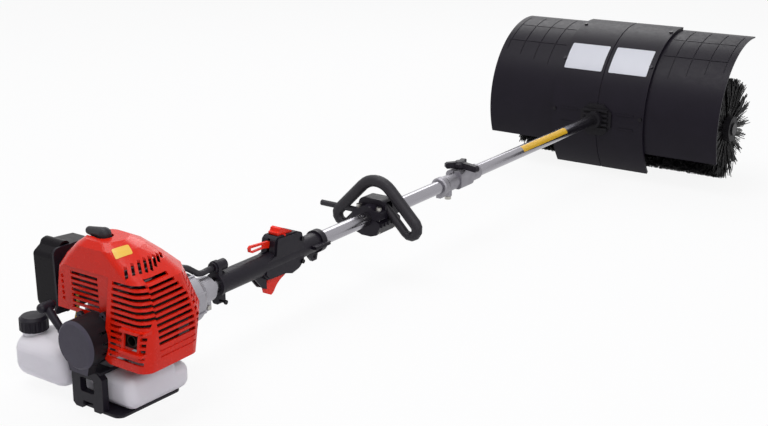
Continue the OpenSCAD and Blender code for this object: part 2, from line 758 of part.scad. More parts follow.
module engine_stand() color([0.13, 0.13, 0.14]) {
    translate([stand_x[0], stand_mid, 0]) rotate([90, 0, 90]) linear_extrude(stand_x[1] - stand_x[0])
        difference() {
            polygon([[-stand_v, 5], [-stand_v + 6, 0], [-leg_v, 0], [-leg_v + 2, 12], [leg_v - 2, 12],
                [leg_v, 0], [stand_v - 6, 0], [stand_v, 5], [stand_v, plate_z - 8], [stand_v - 9, plate_z],
                [9 - stand_v, plate_z], [-stand_v, plate_z - 8]]);
            // Moulded window between the legs
            round_rect([-window_v, 26], [window_v, plate_z - 12], 4);
        }
    linear_extrude(tray_t) difference() {
        round_rect([stand_x[0] + 3, tank_v[0] + 9], [tank_front[0] - 12, stand_mid + stand_v], 12);
        round_rect([tank_x[0] + 18, tank_v[0] + 28], [tank_front[0] - 34, stand_v - 16], 8);
        translate([stand_x[0], stand_mid - leg_v]) square([7, 2 * leg_v]);
    }
    // Top plate, parallel to the crankcase's underside
    place() block([stand_x[0], case_v[0] + 4, case_low - 4],
        [crankcase_u[0] + 30, -case_v[0] - 4, case_low]);
}

plate_z = shaft_h + case_low - 2;

// Tubes, shafts and bushings

module upper_tube() color("silver") place() {
    sleeve_u(tube_u, joint_u - tube_u, tube_d, tube_bore);
}

module lower_tube() color("silver") place() difference() {
    sleeve_u(joint_u + air, tube_end - joint_u - air, tube_d, tube_bore);
    translate([pin_u, 0, -tube_d]) cylinder(h = tube_d, d = pin_d + 2 * air);
}

module upper_drive_shaft() color("silver") place() {
    rod_u(crank_end + 2 + fit, joint_u - crank_end - 2, drive_d);
}

module lower_drive_shaft() color("silver") place() {
    rod_u(joint_u + 2 + 2 * fit, worm_u - journal_len + 18 - joint_u - 2, drive_d);
}

bushing_len = 30;

module shaft_bushings() color("peru") place() {
    for (u = [320, 600, 870, 1140, 1420, 1690])
        sleeve_u(u, bushing_len, tube_bore - 2 * fit, drive_d + 2 * run);
}

// Coupler: cast sleeve with a clamp knob and a spring pin
pin_d = 7;
boss_top = coupler_d / 2 + 2.2;
knob_bolt_d = 8;

module coupler_body() color("gray") place() difference() {
    union() {
        turned_u() polygon([[0, coupler_u], [coupler_d / 2 - 2, coupler_u], [coupler_d / 2, coupler_u + 3],
            [coupler_d / 2, coupler_u + 14], [coupler_d / 2 - 2, coupler_u + 20],
            [coupler_d / 2 - 2, coupler_u + coupler_len - 30], [tube_d / 2 + 3, coupler_u + coupler_len],
            [0, coupler_u + coupler_len]]);
        // Thick clamp section with ears either side of the knob
        slab_u(knob_u - 24, knob_u + 24)
            round_rect([-coupler_d / 2, -coupler_d / 2 + 2], [coupler_d / 2, coupler_d / 2 + 2], 9);
        translate([knob_u, 0, 0]) cylinder(h = boss_top, d = 26);
        translate([pin_u, 0, -coupler_d / 2 - 7]) cylinder(h = 14, d = pin_d + 9);
        block([coupler_u, -5, -coupler_d / 2 - 4], [pin_u + 4, 5, -coupler_d / 2 + 4]);
    }
    rod_u(coupler_u - 1, coupler_len + 2, tube_seat);
    translate([knob_u, 0, 0]) cylinder(h = 60, d = knob_bolt_d + 2 * run);
    translate([pin_u, 0, -60]) cylinder(h = 60, d = pin_d + 2 * run);
    // Clamp slit along the top
    block([knob_u - 40, -1, tube_d / 2 - 2], [coupler_u + coupler_len + 1, 1, coupler_d]);
}

module coupler_knob() color("black") place() translate([knob_u, 0, 0]) {
    translate([0, 0, tube_d / 2 + 1]) cylinder(h = boss_top - tube_d / 2 + 4, d = knob_bolt_d);
    translate([0, 0, boss_top + air])
        rotate_extrude() polygon([[0, 0], [11, 0], [14, 4], [14, 10], [9, 15], [0, 15]]);
    // One long wing to turn it by and two short ones
    for (wing = [[-104, 0.64], [136, 0.4], [16, 0.4]]) {
        tip = wing[1] * knob_len;
        rotate([0, 0, wing[0]]) translate([0, 5, boss_top + 1.4]) rotate([90, 0, 0]) linear_extrude(10)
            polygon([[6, 0], [tip - 3, 0], [tip, 3], [tip, 9], [tip - 4, 12], [6, 13]]);
    }
}

module coupler_pin() color("lightgray") place() translate([pin_u, 0, 0]) {
    translate([0, 0, -coupler_d / 2 - 11]) cylinder(h = coupler_d / 2 + 11 - tube_bore / 2 + 1, d = pin_d);
    translate([0, 0, -coupler_d / 2 - 14]) cylinder(h = 6, d = pin_d + 6);
}

// Rear grip: two moulded halves round the tube
grip_end = grip_u + grip_len;
head_u = grip_end - 108;
cable_d = 10;
cable_w = 29;
trigger_pivot = [grip_end - 36, -tube_d / 2 - 6.5];
lever_pivot = [head_u + 34, 27];
switch_pivot = [head_u + 56, 44];
slot_t = trigger_t + 2 * air;
lever_t = 4.4;
lever_slot = lever_t + 2 * air;
switch_half = 10;

module head_outline(inset) {
    offset(delta = -inset) offset(r = 6) offset(delta = -6)
        polygon([[head_u, -14], [head_u + 4, 10], [head_u + 27, 15], [head_u + 31, 38], [head_u + 37, 43],
            [grip_end - 22, 40], [grip_end - 8, 34], [grip_end - 4, 10], [grip_end - 5, -16],
            [grip_end - 18, -27], [grip_end - 36, -31], [grip_end - 52, -26], [head_u + 10, -24]]);
}

module grip_whole() difference() {
    union() {
        rod_u(grip_u + 4, grip_len - 4, grip_d);
        slab_v(-head_t / 2 + 3, head_t / 2 - 3) head_outline(0);
        slab_v(-head_t / 2, head_t / 2) head_outline(3);
        // Rear flange with the cable boss above and a screw lug below
        slab_u(grip_u, grip_u + 8) union() {
            circle(d = grip_d + 3);
            translate([0, cable_w]) circle(d = cable_d + 11);
            translate([-10, 6]) square([20, 22]);
        }
        slab_u(grip_u, grip_u + 16) round_rect([-7, -grip_d / 2 - 14], [7, 0], 4);
        rod_boss();
        // Finger stop: a cheek on each half, the trigger swings between them
        slab_v(-slot_t / 2 - 3, slot_t / 2 + 3) polygon([[head_u - 18, -12], [head_u + 12, -12],
            [head_u + 14, -42], [head_u + 4, -38]]);
    }
    rod_u(grip_u - 1, grip_len + 2, tube_seat);
    // Trigger and lever chamber, below and above the tube
    slab_v(-slot_t / 2, slot_t / 2) polygon([[head_u - 12, -60], [head_u - 12, -15],
        [head_u + 12, -tube_d / 2 - 1], [grip_end - 9, -tube_d / 2 - 1], [grip_end - 20, -25],
        [grip_end - 26, -60]]);
    slab_v(-lever_slot / 2, lever_slot / 2) polygon([[head_u + 8, 19], [head_u + 20, tube_d / 2 + 2],
        [head_u + 46, tube_d / 2 + 2], [head_u + 46, 37], [head_u + 34, 39], [head_u + 8, 39]]);
    // Well of the rocker switch
    slab_v(-switch_half - air, switch_half + air) polygon([[head_u + 39, 60], [head_u + 39, 36],
        [head_u + 82, 31], [head_u + 82, 60]]);
    rod_v(trigger_pivot[0], trigger_pivot[1], -11, 11, pivot_d + 2 * run);
    rod_v(lever_pivot[0], lever_pivot[1], -11, 11, pivot_d + 2 * run);
    rod_v(switch_pivot[0], switch_pivot[1] - 3, -14, 14, pivot_d - 2 + 2 * run);
    // Cable way
    translate([0, 0, cable_w]) rod_u(grip_u - 5, 20, cable_d + air);
    grip_screw_places() rod_v(0, 0, -40, 40, screw_d + 2 * fit);
}

module rod_boss() {
    translate([0, 0, cable_w]) rod_u(grip_u - 4, 27, cable_d + 8);
}

module grip_screw_places() {
    for (p = [[grip_end - 12, -16], [grip_end - 12, 24], [grip_u + 4, -grip_d / 2 - 8]])
        translate([p[0], 0, p[1]]) children();
}

module grip_right_half() color([0.12, 0.12, 0.13]) place() intersection() {
    grip_whole();
    block([grip_u - 20, -60, -80], [grip_end + 20, 0, 80]);
}

module grip_left_half() color([0.12, 0.12, 0.13]) place() intersection() {
    grip_whole();
    block([grip_u - 20, 0, -80], [grip_end + 20, 60, 80]);
}

module throttle_trigger() color("red") place() {
    p = trigger_pivot;
    rod_v(p[0], p[1], -11 + fit, 11 - fit, pivot_d);
    slab_v(-trigger_t / 2, trigger_t / 2) union() {
        translate(p) circle(d = 9);
        difference() {
            polygon([[p[0] - 52, p[1] - 10], [p[0], p[1] + 4], [p[0] + 4, p[1] - 6], [p[0] - 20, p[1] - 20],
                [p[0] - 40, p[1] - 36], [p[0] - 44, p[1] - 38], [p[0] - 56, p[1] - 32],
                [p[0] - 58, p[1] - 24]]);
            translate([p[0] + 1, p[1] - 58]) circle(r = 45);
        }
    }
}

module lockout_lever() color("red") place() {
    p = lever_pivot;
    rod_v(p[0], p[1], -11 + fit, 11 - fit, pivot_d);
    slab_v(-lever_t / 2, lever_t / 2) union() {
        translate(p) circle(d = 9);
        difference() {
            polygon([[p[0], p[1] - 4], [p[0] - 20, p[1]], [p[0] - 46, p[1]], [p[0] - 53, p[1] + 3],
                [p[0] - 54, p[1] + 10], [p[0] - 50, p[1] + 13], [p[0] - 6, p[1] + 9], [p[0] + 4, p[1] + 3]]);
            polygon([[p[0] - 18, p[1] + 2.6], [p[0] - 44, p[1] + 2.6], [p[0] - 49.5, p[1] + 5],
                [p[0] - 50, p[1] + 9], [p[0] - 16, p[1] + 6.5]]);
        }
    }
}

module stop_switch() color("red") place() {
    p = switch_pivot;
    rod_v(p[0], p[1] - 3, -14 + fit, 14 - fit, pivot_d - 2);
    slab_v(-switch_half, switch_half) polygon([[p[0] - 14, p[1] - 1], [p[0] - 5, p[1] - 6],
        [p[0] + 8, p[1] - 7], [p[0] + 22, p[1] - 5], [p[0] + 22, p[1] - 2], [p[0] - 3, p[1] + 10],
        [p[0] - 8, p[1] + 9], [p[0] - 10, p[1] + 4], [p[0] - 14, p[1] + 3]]);
}

cable_route = [[126, -6, 82], [140, -6, 76], [156, -6, 66], [174, -6, 55], [190, -6, 48.5], [204, -5, 39],
    [216, -3, 31.5], [228, -1, 28.8], [240, 0, 29], [247, 0, 29], [254, 0, 29], [262, 0, 29]];

module throttle_cable() color("black") place() {
    tube_along(smooth_route(cable_route, 4), cable_d, [0, 1, 0], 10);
}

// Hanger clamp with the harness eye
hanger_u = grip_end + 8;
hanger_len = 46;
hanger_d = tube_d + 9;
eye_r = 4;
eye_t = 6;

module hanger_clamp() color([0.12, 0.12, 0.13]) place() difference() {
    union() {
        rod_u(grip_end + air, hanger_u - grip_end, hanger_d);
        rod_u(hanger_u, hanger_len, hanger_d - 2);
        rod_u(hanger_u + hanger_len - 12, 12, hanger_d + 5);
        // Side flanges of the split ring
        block([hanger_u + 6, -hanger_d / 2 - 9, -3], [hanger_u + hanger_len, hanger_d / 2 + 9, 3]);
        // Eye below
        slab_v(-eye_t / 2, eye_t / 2) polygon([[hanger_u + 12, 0], [hanger_u + 16, -hanger_d / 2 - 6],
            [hanger_u + 24, -hanger_d / 2 - 15], [hanger_u + 36, -hanger_d / 2 - 15], [hanger_u + 46, 0]]);
    }
    rod_u(grip_end, hanger_len + 20, tube_seat);
    rod_v(hanger_u + 30, -hanger_d / 2 - 7, -20, 20, 2 * eye_r);
    block([hanger_u + 6, -60, -0.4], [hanger_u + 80, 60, 0.4]);
}

// Loop handle: an arch with folded feet, whose bare bar is clamped across the top of the tube
limb_out = 58;
arm_out = 28;
foot_reach = 62;
arch_top = 64;
arch_w = (arch_top - limb_out) / (1 - sqrt(0.5));
arch_r = arch_top - arch_w;
bar_w = tube_d / 2 + 3 * fit + bar_d / 2;
bar_bend = arm_out * sqrt(2) - bar_w;
foot_r = (limb_out - arm_out) / 2;
foot_d = (handle_d + bar_d) / 2;
function limb_point(out, reach) = [-out - reach, out - reach] * sqrt(0.5);
function with_d(p, d) = [p[0], p[1], d];
// The right side of the ring, from the arch's crown round the foot to the middle of the clamped bar
handle_side = concat(
    [for (a = [95 : 10 : 135]) [arch_r * cos(a), arch_w + arch_r * sin(a), handle_d]],
    [with_d(limb_point(limb_out, foot_reach - 6), handle_d)],
    [for (a = [0 : 30 : 180]) with_d(limb_point(arm_out + foot_r * (1 + cos(a)),
        foot_reach + foot_r * sin(a)), handle_d + (bar_d - handle_d) * a / 180)],
    [[-bar_bend - 7, bar_w - 7, bar_d], [-bar_bend - 3, bar_w - 3.6, bar_d],
        [-bar_bend + 2, bar_w - 0.8, bar_d], [-bar_bend + 7, bar_w, bar_d]]);
handle_ring = concat(handle_side, [for (i = [len(handle_side) - 1 : -1 : 0]) let (p = handle_side[i])
    [-p[0], p[1], p[2]]]);

module loop_handle() color([0.14, 0.14, 0.15]) place() translate([handle_u, 0, 0]) {
    tube_ring(handle_ring, 16);
    // Guard rod out of the left limb
    rod_v(0, 1, arm_out * sqrt(2) - 2, 127, 11);
}

clamp_v = 30;
clamp_top = bar_w + bar_d / 2 + 5;

module clamp_bolt_places() {
    for (u = [-1, 1]) for (v = [-1, 1])
        translate([handle_u + u * (clamp_len / 2 - 9), v * (clamp_v - 8), 0]) children();
}

module handle_clamp_upper() color([0.11, 0.11, 0.12]) place() difference() {
    union() {
        // Low ends: a saddle round the tube between two bolt wings
        slab_u(handle_u - clamp_len / 2, handle_u + clamp_len / 2) union() {
            round_rect([-clamp_v, 0.3], [clamp_v, clamp_top - 17], 3);
            intersection() {
                circle(r = clamp_top - 10);
                translate([-clamp_v, 0.3]) square([2 * clamp_v, clamp_top]);
            }
        }
        // High middle over the handle's bar
        slab_u(handle_u - 15, handle_u + 15) intersection() {
            round_rect([-clamp_v, -20], [clamp_v, clamp_top], 14);
            translate([-clamp_v, 0.3]) square([2 * clamp_v, clamp_top]);
        }
    }
    rod_u(handle_u - 60, 120, tube_seat);
    // Saddle for the bar: roofed in the middle, open below, and sloped with the arms at both sides
    slab_u(handle_u - bar_d / 2 - fit, handle_u + bar_d / 2 + fit)
        polygon([[-clamp_v - 1, -1], [-clamp_v - 1, bar_w + bar_d / 2],
            [-clamp_v + 6, bar_w + bar_d / 2 + fit], [clamp_v - 6, bar_w + bar_d / 2 + fit],
            [clamp_v + 1, bar_w + bar_d / 2], [clamp_v + 1, -1]]);
    clamp_bolt_places() translate([0, 0, -1]) cylinder(h = 60, d = bolt_d + 2 * fit);
    clamp_bolt_places() translate([0, 0, clamp_top - 17]) cylinder(h = 60, d = 2 * bolt_d + 2);
}

module handle_clamp_lower() color([0.11, 0.11, 0.12]) place() difference() {
    union() {
        slab_u(handle_u - clamp_len / 2, handle_u + clamp_len / 2)
            polygon([[-clamp_v + 9, -0.3], [-clamp_v, -6], [-clamp_v, -12], [-clamp_v + 8, -28], [-10, -32],
                [10, -32], [clamp_v - 8, -28], [clamp_v, -12], [clamp_v, -6], [clamp_v - 9, -0.3]]);
        // Moulded ribs on both sides
        for (i = [0 : 5]) translate([handle_u - clamp_len / 2 + 4 + i * (clamp_len - 11) / 5, 0, 0])
            block([0, -clamp_v - 1.5, -13], [3, clamp_v + 1.5, -7]);
    }
    rod_u(handle_u - 60, 120, tube_seat);
    clamp_bolt_places() translate([0, 0, -60]) cylinder(h = 61, d = bolt_d + 2 * fit);
}

// Gear head: worm over wheel in a closed case
case_r = wheel_pitch_r + tooth_reach + 9;
bush_wall = 3;
cover_t = 5;

module case_outline(inset) {
    offset(delta = -inset) union() {
        translate([brush_u, -axle_drop]) circle(r = case_r);
        round_rect([worm_u - journal_len - 4, -case_r + 6], [worm_u + worm_len + journal_len, 17], 8);
    }
}

module gear_case_bores() {
    wheel_room = wheel_pitch_r + tooth_reach + 1;
    rod_v(brush_u, -axle_drop, -case_w / 2 - 1, case_w / 2 - 9, 2 * wheel_room);
    rod_u(worm_u - 1, worm_len + 2, 2 * (worm_pitch_r + tooth_reach + 1));
    rod_u(neck_u - 1, worm_u - neck_u, worm_journal_d + 2 * run);
    rod_u(neck_u - 1, tube_end - neck_u + 1 + fit, tube_seat);
    rod_u(worm_u + worm_len, journal_len - 3, drive_d + 2 * run);
    rod_v(brush_u, -axle_drop, -case_w, case_w, axle_d + 2 * bush_wall + 2 * fit);
}

worm_journal_d = 14;

module gear_case() color("darkgray") place() difference() {
    union() {
        slab_v(-case_w / 2 + cover_t, case_w / 2) case_outline(0);
        turned_u() polygon([[0, neck_u], [tube_d / 2 + 5, neck_u], [tube_d / 2 + 6, neck_u + 8],
            [tube_d / 2 + 6, worm_u], [0, worm_u]]);
    }
    gear_case_bores();
}

module gear_case_cover() color("darkgray") place() difference() {
    slab_v(-case_w / 2, -case_w / 2 + cover_t) translate([brush_u, -axle_drop]) circle(r = case_r - 1);
    rod_v(brush_u, -axle_drop, -case_w, case_w, axle_d + 2 * bush_wall + 2 * fit);
}

module worm() color("silver") place() difference() {
    union() {
        rod_u(worm_u - journal_len, journal_len + 0.1, worm_journal_d);
        rod_u(worm_u, worm_len, 2 * worm_core_r);
        rod_u(worm_u + worm_len - 0.1, journal_len - 4, drive_d);
        worm_thread();
    }
    rod_u(worm_u - journal_len - 1, 19 + 2 * fit, drive_d + 2 * fit);
}

// One trapezoid thread that passes the wheel's top space exactly over the brush axis
module worm_thread() {
    step = 20;
    turns = 5;
    root_half = 1.6;
    tip_half = 0.7;
    n = turns * 360 / step;
    function thread_point(i, r, side) = let (a = 270 + (i - n / 2) * step)
        [brush_u + worm_lead * (i - n / 2) * step / 360 + side, r * cos(a), r * sin(a)];
    root_r = worm_core_r - 0.5;
    tip_r = worm_pitch_r + tooth_reach;
    points = [for (i = [0 : n]) each [thread_point(i, root_r, -root_half), thread_point(i, tip_r, -tip_half),
        thread_point(i, tip_r, tip_half), thread_point(i, root_r, root_half)]];
    walls = [for (i = [0 : n - 1]) for (k = [0 : 3]) let (p = 4 * i + k, q = 4 * i + (k + 1) % 4)
        each [[p, q, q + 4], [p, q + 4, p + 4]]];
    polyhedron(points, concat(walls, [[3, 2, 1, 0], [4 * n, 4 * n + 1, 4 * n + 2, 4 * n + 3]]));
}

wheel_face = 12;
wheel_hub = 22;
wheel_twist = -wheel_face / (worm_pitch_r * wheel_pitch_r) * 180 / PI;

module wheel_outline() {
    circle(r = wheel_root_r);
    for (i = [0 : wheel_teeth - 1]) rotate((i + 0.5) * 360 / wheel_teeth + 90)
        polygon([[wheel_root_r - 1, -1.8], [wheel_pitch_r + tooth_reach, -0.7],
            [wheel_pitch_r + tooth_reach, 0.7], [wheel_root_r - 1, 1.8]]);
}

module worm_wheel() color("goldenrod") place() difference() {
    translate([brush_u, 0, -axle_drop]) union() {
        rotate([90, 0, 0])
            linear_extrude(wheel_face, center = true, twist = wheel_twist, slices = 4, $fn = 40)
            rotate(wheel_twist / 2) wheel_outline();
        rotate([90, 0, 0]) cylinder(h = wheel_hub, d = axle_d + 10, center = true);
    }
    rod_v(brush_u, -axle_drop, -40, 40, axle_d + 2 * fit);
}

// Brush: axle, cores and bristles
core_gap = case_w / 2 + 9;
core_end = brush_len / 2;
bush_len = 9;

module brush_axle() color("silver") place() translate([brush_u, 0, -axle_drop]) {
    turned_v() polygon([[0, -core_end - 4], [15, -core_end - 4], [15, -core_end], [axle_d / 2, -core_end],
        [axle_d / 2, core_end], [15, core_end], [15, core_end + 4], [0, core_end + 4]]);
    for (side = [0, 1]) mirror([0, side, 0])
        turned_v() polygon([[0, case_w / 2 + air], [axle_d / 2 + 5, case_w / 2 + air],
            [axle_d / 2 + 5, core_gap], [0, core_gap]]);
}

module axle_bushes() color("peru") place() {
    for (v = [-case_w / 2, case_w / 2 - bush_len]) difference() {
        rod_v(brush_u, -axle_drop, v, v + bush_len, axle_d + 2 * bush_wall);
        rod_v(brush_u, -axle_drop, v - 1, v + bush_len + 1, axle_d + 2 * run);
    }
}

core_wall = 4;

module brush_cores() color([0.15, 0.15, 0.16]) place() translate([brush_u, 0, -axle_drop])
    for (side = [0, 1]) mirror([0, side, 0]) difference() {
        translate([0, core_gap, 0]) rotate([-90, 0, 0]) cylinder(h = core_end - core_gap, d = core_d);
        translate([0, core_gap + 6, 0]) rotate([-90, 0, 0])
            cylinder(h = core_end - core_gap - 12, d = core_d - 2 * core_wall);
        translate([0, core_gap - 1, 0]) rotate([-90, 0, 0])
            cylinder(h = core_end - core_gap + 2, d = axle_d + 2 * fit);
    }

// Bristles: one closed form per side, a thin backing ring whose alternate cells grow out as flared tufts
tufts_round = 20;
tufts_long = 10;
backing_t = 3;

module bristles(side) {
    cells = 2 * tufts_round;
    rows = 2 * tufts_long + 1;
    in_r = (core_d / 2 + fit) / cos(180 / cells);
    out_r = in_r + backing_t;
    v0 = core_gap + 1;
    v1 = core_end - 1;
    pitch = (v1 - v0) / rows;
    down = 270 - tilt - 180 / cells;
    tip_turn = 5.4;
    function ring_point(r, a, v) = [r * cos(a), side * v, r * sin(a)];
    grid = [for (j = [0 : rows]) for (i = [0 : cells - 1])
        ring_point(out_r, down + i * 360 / cells, v0 + j * pitch)];
    bore = [for (v = [v0, v1]) for (i = [0 : cells - 1]) ring_point(in_r, down + i * 360 / cells, v)];
    tips = [for (j = [0 : tufts_long - 1]) for (i = [0 : tufts_round - 1]) let (
            a0 = down + (2 * i + 0.5) * 360 / cells - tip_turn / 2,
            a1 = down + (2 * i + 0.5) * 360 / cells + tip_turn / 2,
            va = v0 + (2 * j + 1) * pitch,
            vb = v0 + (2 * j + 2) * pitch,
            r = brush_d / 2)
        each [ring_point(r, a0, va), ring_point(r, a1, va), ring_point(r, a1, vb), ring_point(r, a0, vb)]];
    b0 = cells * (rows + 1);
    t0 = b0 + 2 * cells;
    plain = [for (j = [0 : rows - 1]) for (i = [0 : cells - 1]) if (i % 2 == 1 || j % 2 == 0) let (
            a = j * cells + i, b = j * cells + (i + 1) % cells)
        each [[a, b, b + cells], [a, b + cells, a + cells]]];
    tufts = [for (j = [0 : tufts_long - 1]) for (i = [0 : tufts_round - 1]) let (
            a = (2 * j + 1) * cells + 2 * i, base = [a, a + 1, a + 1 + cells, a + cells],
            t = t0 + 4 * (j * tufts_round + i))
        each concat([[t, t + 1, t + 2], [t, t + 2, t + 3]], [for (k = [0 : 3]) let (m = (k + 1) % 4)
            each [[t + m, t + k, base[k]], [t + m, base[k], base[m]]]])];
    ends = [for (i = [0 : cells - 1]) let (m = (i + 1) % cells, last = rows * cells) each [
        [m, i, b0 + i], [m, b0 + i, b0 + m],
        [last + i, last + m, b0 + cells + m], [last + i, b0 + cells + m, b0 + cells + i],
        [b0 + i, b0 + cells + i, b0 + cells + m], [b0 + i, b0 + cells + m, b0 + m]]];
    all_faces = concat(plain, tufts, ends);
    faces = side > 0 ? all_faces : [for (f = all_faces) [f[0], f[2], f[1]]];
    polyhedron(concat(grid, bore, tips), faces);
}

module bristles_left() color([0.1, 0.1, 0.1]) place() translate([brush_u, 0, -axle_drop]) bristles(1);

module bristles_right() color([0.1, 0.1, 0.1]) place() translate([brush_u, 0, -axle_drop]) bristles(-1);

// Hood: two thin wings under a raised middle band, held to the tube by a ribbed bracket
module hood_arc(arc, r0, r1, v0, v1) {
    translate([hood_u, 0, hood_low]) rotate([-90, 0, 0]) rotate([0, 0, -arc[1]])
        rotate_extrude(angle = arc[1] - arc[0]) translate([r0, v0]) square([r1 - r0, v1 - v0]);
}

band_r = hood_r + band_rise;
lap = 16;
bolt_angles = [104, 140, 176];
groove = 2.4;
seam = 1.4;

module hood_wing() difference() {
    hood_arc(wing_arc, hood_r - hood_wall, hood_r, band_w / 2 - lap, hood_w / 2);
    // Moulded grid near the top
    for (i = [0 : 3]) hood_arc([92 + i, 146 - 3 * i], hood_r - groove / 2, hood_r + 1,
        band_w / 2 + 38 + 42 * i - groove / 2, band_w / 2 + 38 + 42 * i + groove / 2);
    for (a = [110, 128]) hood_arc([a, a + 0.7], hood_r - groove / 2, hood_r + 1,
        band_w / 2 + 8, hood_w / 2 - 12);
    hood_bolt_places() cylinder(h = 40, d = screw_d + 2 * fit, center = true);
}

module hood_bolt_places() {
    for (a = bolt_angles) translate([hood_u, band_w / 2 - lap / 2, hood_low]) rotate([0, 90 - a, 0])
        translate([0, 0, band_r]) children();
}

module hood_wing_left() color([0.13, 0.13, 0.14]) place() hood_wing();

module hood_wing_right() color([0.13, 0.13, 0.14]) place() mirror([0, 1, 0]) hood_wing();

module band_half() difference() {
    union() {
        translate([hood_u, 0, hood_low]) rotate([-90, 0, 0]) rotate([0, 0, -band_arc[1]])
            rotate_extrude(angle = band_arc[1] - band_arc[0])
                polygon([[band_r - hood_wall - 12, fit], [band_r - seam, fit], [band_r, fit + seam],
                    [band_r, band_w / 2],
                    [hood_r + fit, band_w / 2], [hood_r + fit, band_w / 2 - hood_wall],
                    [band_r - hood_wall, band_w / 2 - hood_wall], [band_r - hood_wall, fit + hood_wall],
                    [band_r - hood_wall - 12, fit + hood_wall]]);
        // Seats of the wing bolts
        for (a = bolt_angles) hood_arc([a - 2, a + 2], hood_r + 2 * fit, band_r - 1,
            band_w / 2 - lap / 2 - 6, band_w / 2 - 1);
        // Raised bars beside the bracket
        hood_arc([174, 175.2], band_r - 1, band_r + 1.5, 50, 95);
        hood_arc([183.4, 184.6], band_r - 1, band_r + 1.5, 58, 95);
    }
    translate([hood_u - band_r - 30, 0, 0]) rotate([0, 90, 0]) cylinder(h = 80, d = tube_d + 8);
    hood_bolt_places() cylinder(h = 60, d = screw_d + 2 * fit, center = true);
}

module hood_bands() color([0.13, 0.13, 0.14]) place() {
    band_half();
    mirror([0, 1, 0]) band_half();
}

bracket_u = hood_u - band_r;
bracket_half = 40;

module hood_bracket() color([0.11, 0.11, 0.12]) place() difference() {
    union() {
        slab_u(bracket_u - 4, bracket_u + 14)
            polygon([[-bracket_half, -18], [-18, -bracket_half], [18, -bracket_half], [bracket_half, -18],
                [bracket_half, 18], [18, bracket_half - 4], [-18, bracket_half - 4], [-bracket_half, 18]]);
        rod_u(bracket_u - 22, 36, tube_d + 14);
        // Ribs across the plate
        for (i = [-2 : 2])
            block([bracket_u - 10, -bracket_half + 8, i * 11 - 2.5],
                [bracket_u, bracket_half - 8, i * 11 + 2.5]);
    }
    rod_u(bracket_u - 40, 80, tube_seat);
    rod_v(hood_u, hood_low, -100, 100, 2 * (band_r + fit), $fn = 256);
}

// Fasteners of the fixed frame, one group of loose screws

module fasteners() color("gainsboro") place() {
    // Clutch bell to fan housing
    bell_screw_places() translate([flange_t, 0, 0]) rotate([0, 90, 0]) screw(screw_d, flange_t + 3, 8, 3);
    // Collar pinch screw
    translate([collar_end - 9.5, -8, -tube_d / 2 - 14]) rotate([90, 0, 0]) screw(screw_d, 15, 8, 3.5);
    // Grip halves
    grip_screw_places() translate([0, -head_t / 2, 0]) rotate([90, 0, 0])
        screw(screw_d, head_t - 6, 7.5, 2.5);
    // Handle clamp
    clamp_bolt_places() translate([0, 0, clamp_top - 17]) screw(bolt_d, clamp_top + 10, 2 * bolt_d, 6);
    // Hood wings under the band
    for (side = [0, 1]) mirror([0, side, 0]) hood_bolt_places()
        screw(screw_d, band_rise + hood_wall + 4, 9, 3);
}

engine_shroud();
crankcase();
engine_cylinder();
spark_plug();
spark_plug_boot();
fan_housing();
flywheel();
ignition_coil();
crankshaft();
clutch_shoes();
clutch_drum();
clutch_housing();
recoil_housing();
recoil_reel();
starter_rope();
starter_grip();
muffler();
carburettor();
air_filter_base();
air_filter_element();
air_filter_cover();
choke_lever();
primer_bulb();
fuel_tank();
fuel_cap();
fuel_cap_gasket();
fuel_line();
engine_stand();
upper_tube();
lower_tube();
upper_drive_shaft();
lower_drive_shaft();
shaft_bushings();
coupler_body();
coupler_knob();
coupler_pin();
grip_right_half();
grip_left_half();
throttle_trigger();
lockout_lever();
stop_switch();
throttle_cable();
hanger_clamp();
loop_handle();
handle_clamp_upper();
handle_clamp_lower();
gear_case();
gear_case_cover();
worm();
worm_wheel();
brush_axle();
axle_bushes();
brush_cores();
bristles_left();
bristles_right();
hood_bands();
hood_wing_left();
hood_wing_right();
hood_bracket();
fasteners();
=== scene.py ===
# %% [markdown]
# # A petrol power brush sweeper
# The machine has a small red engine at one end, a long split shaft, and a hooded drum of nylon bristles
# at the other. Its solid shapes come packed from CAD as a fixed frame, one object per part,
# already in metres and in place. This notebook gives every part its finish and adds what CAD leaves plain:
# loose bristles, the rope and the stickers.

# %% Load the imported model
import json
import math
import random

import bmesh
import bpy
from mathutils import Matrix, Vector


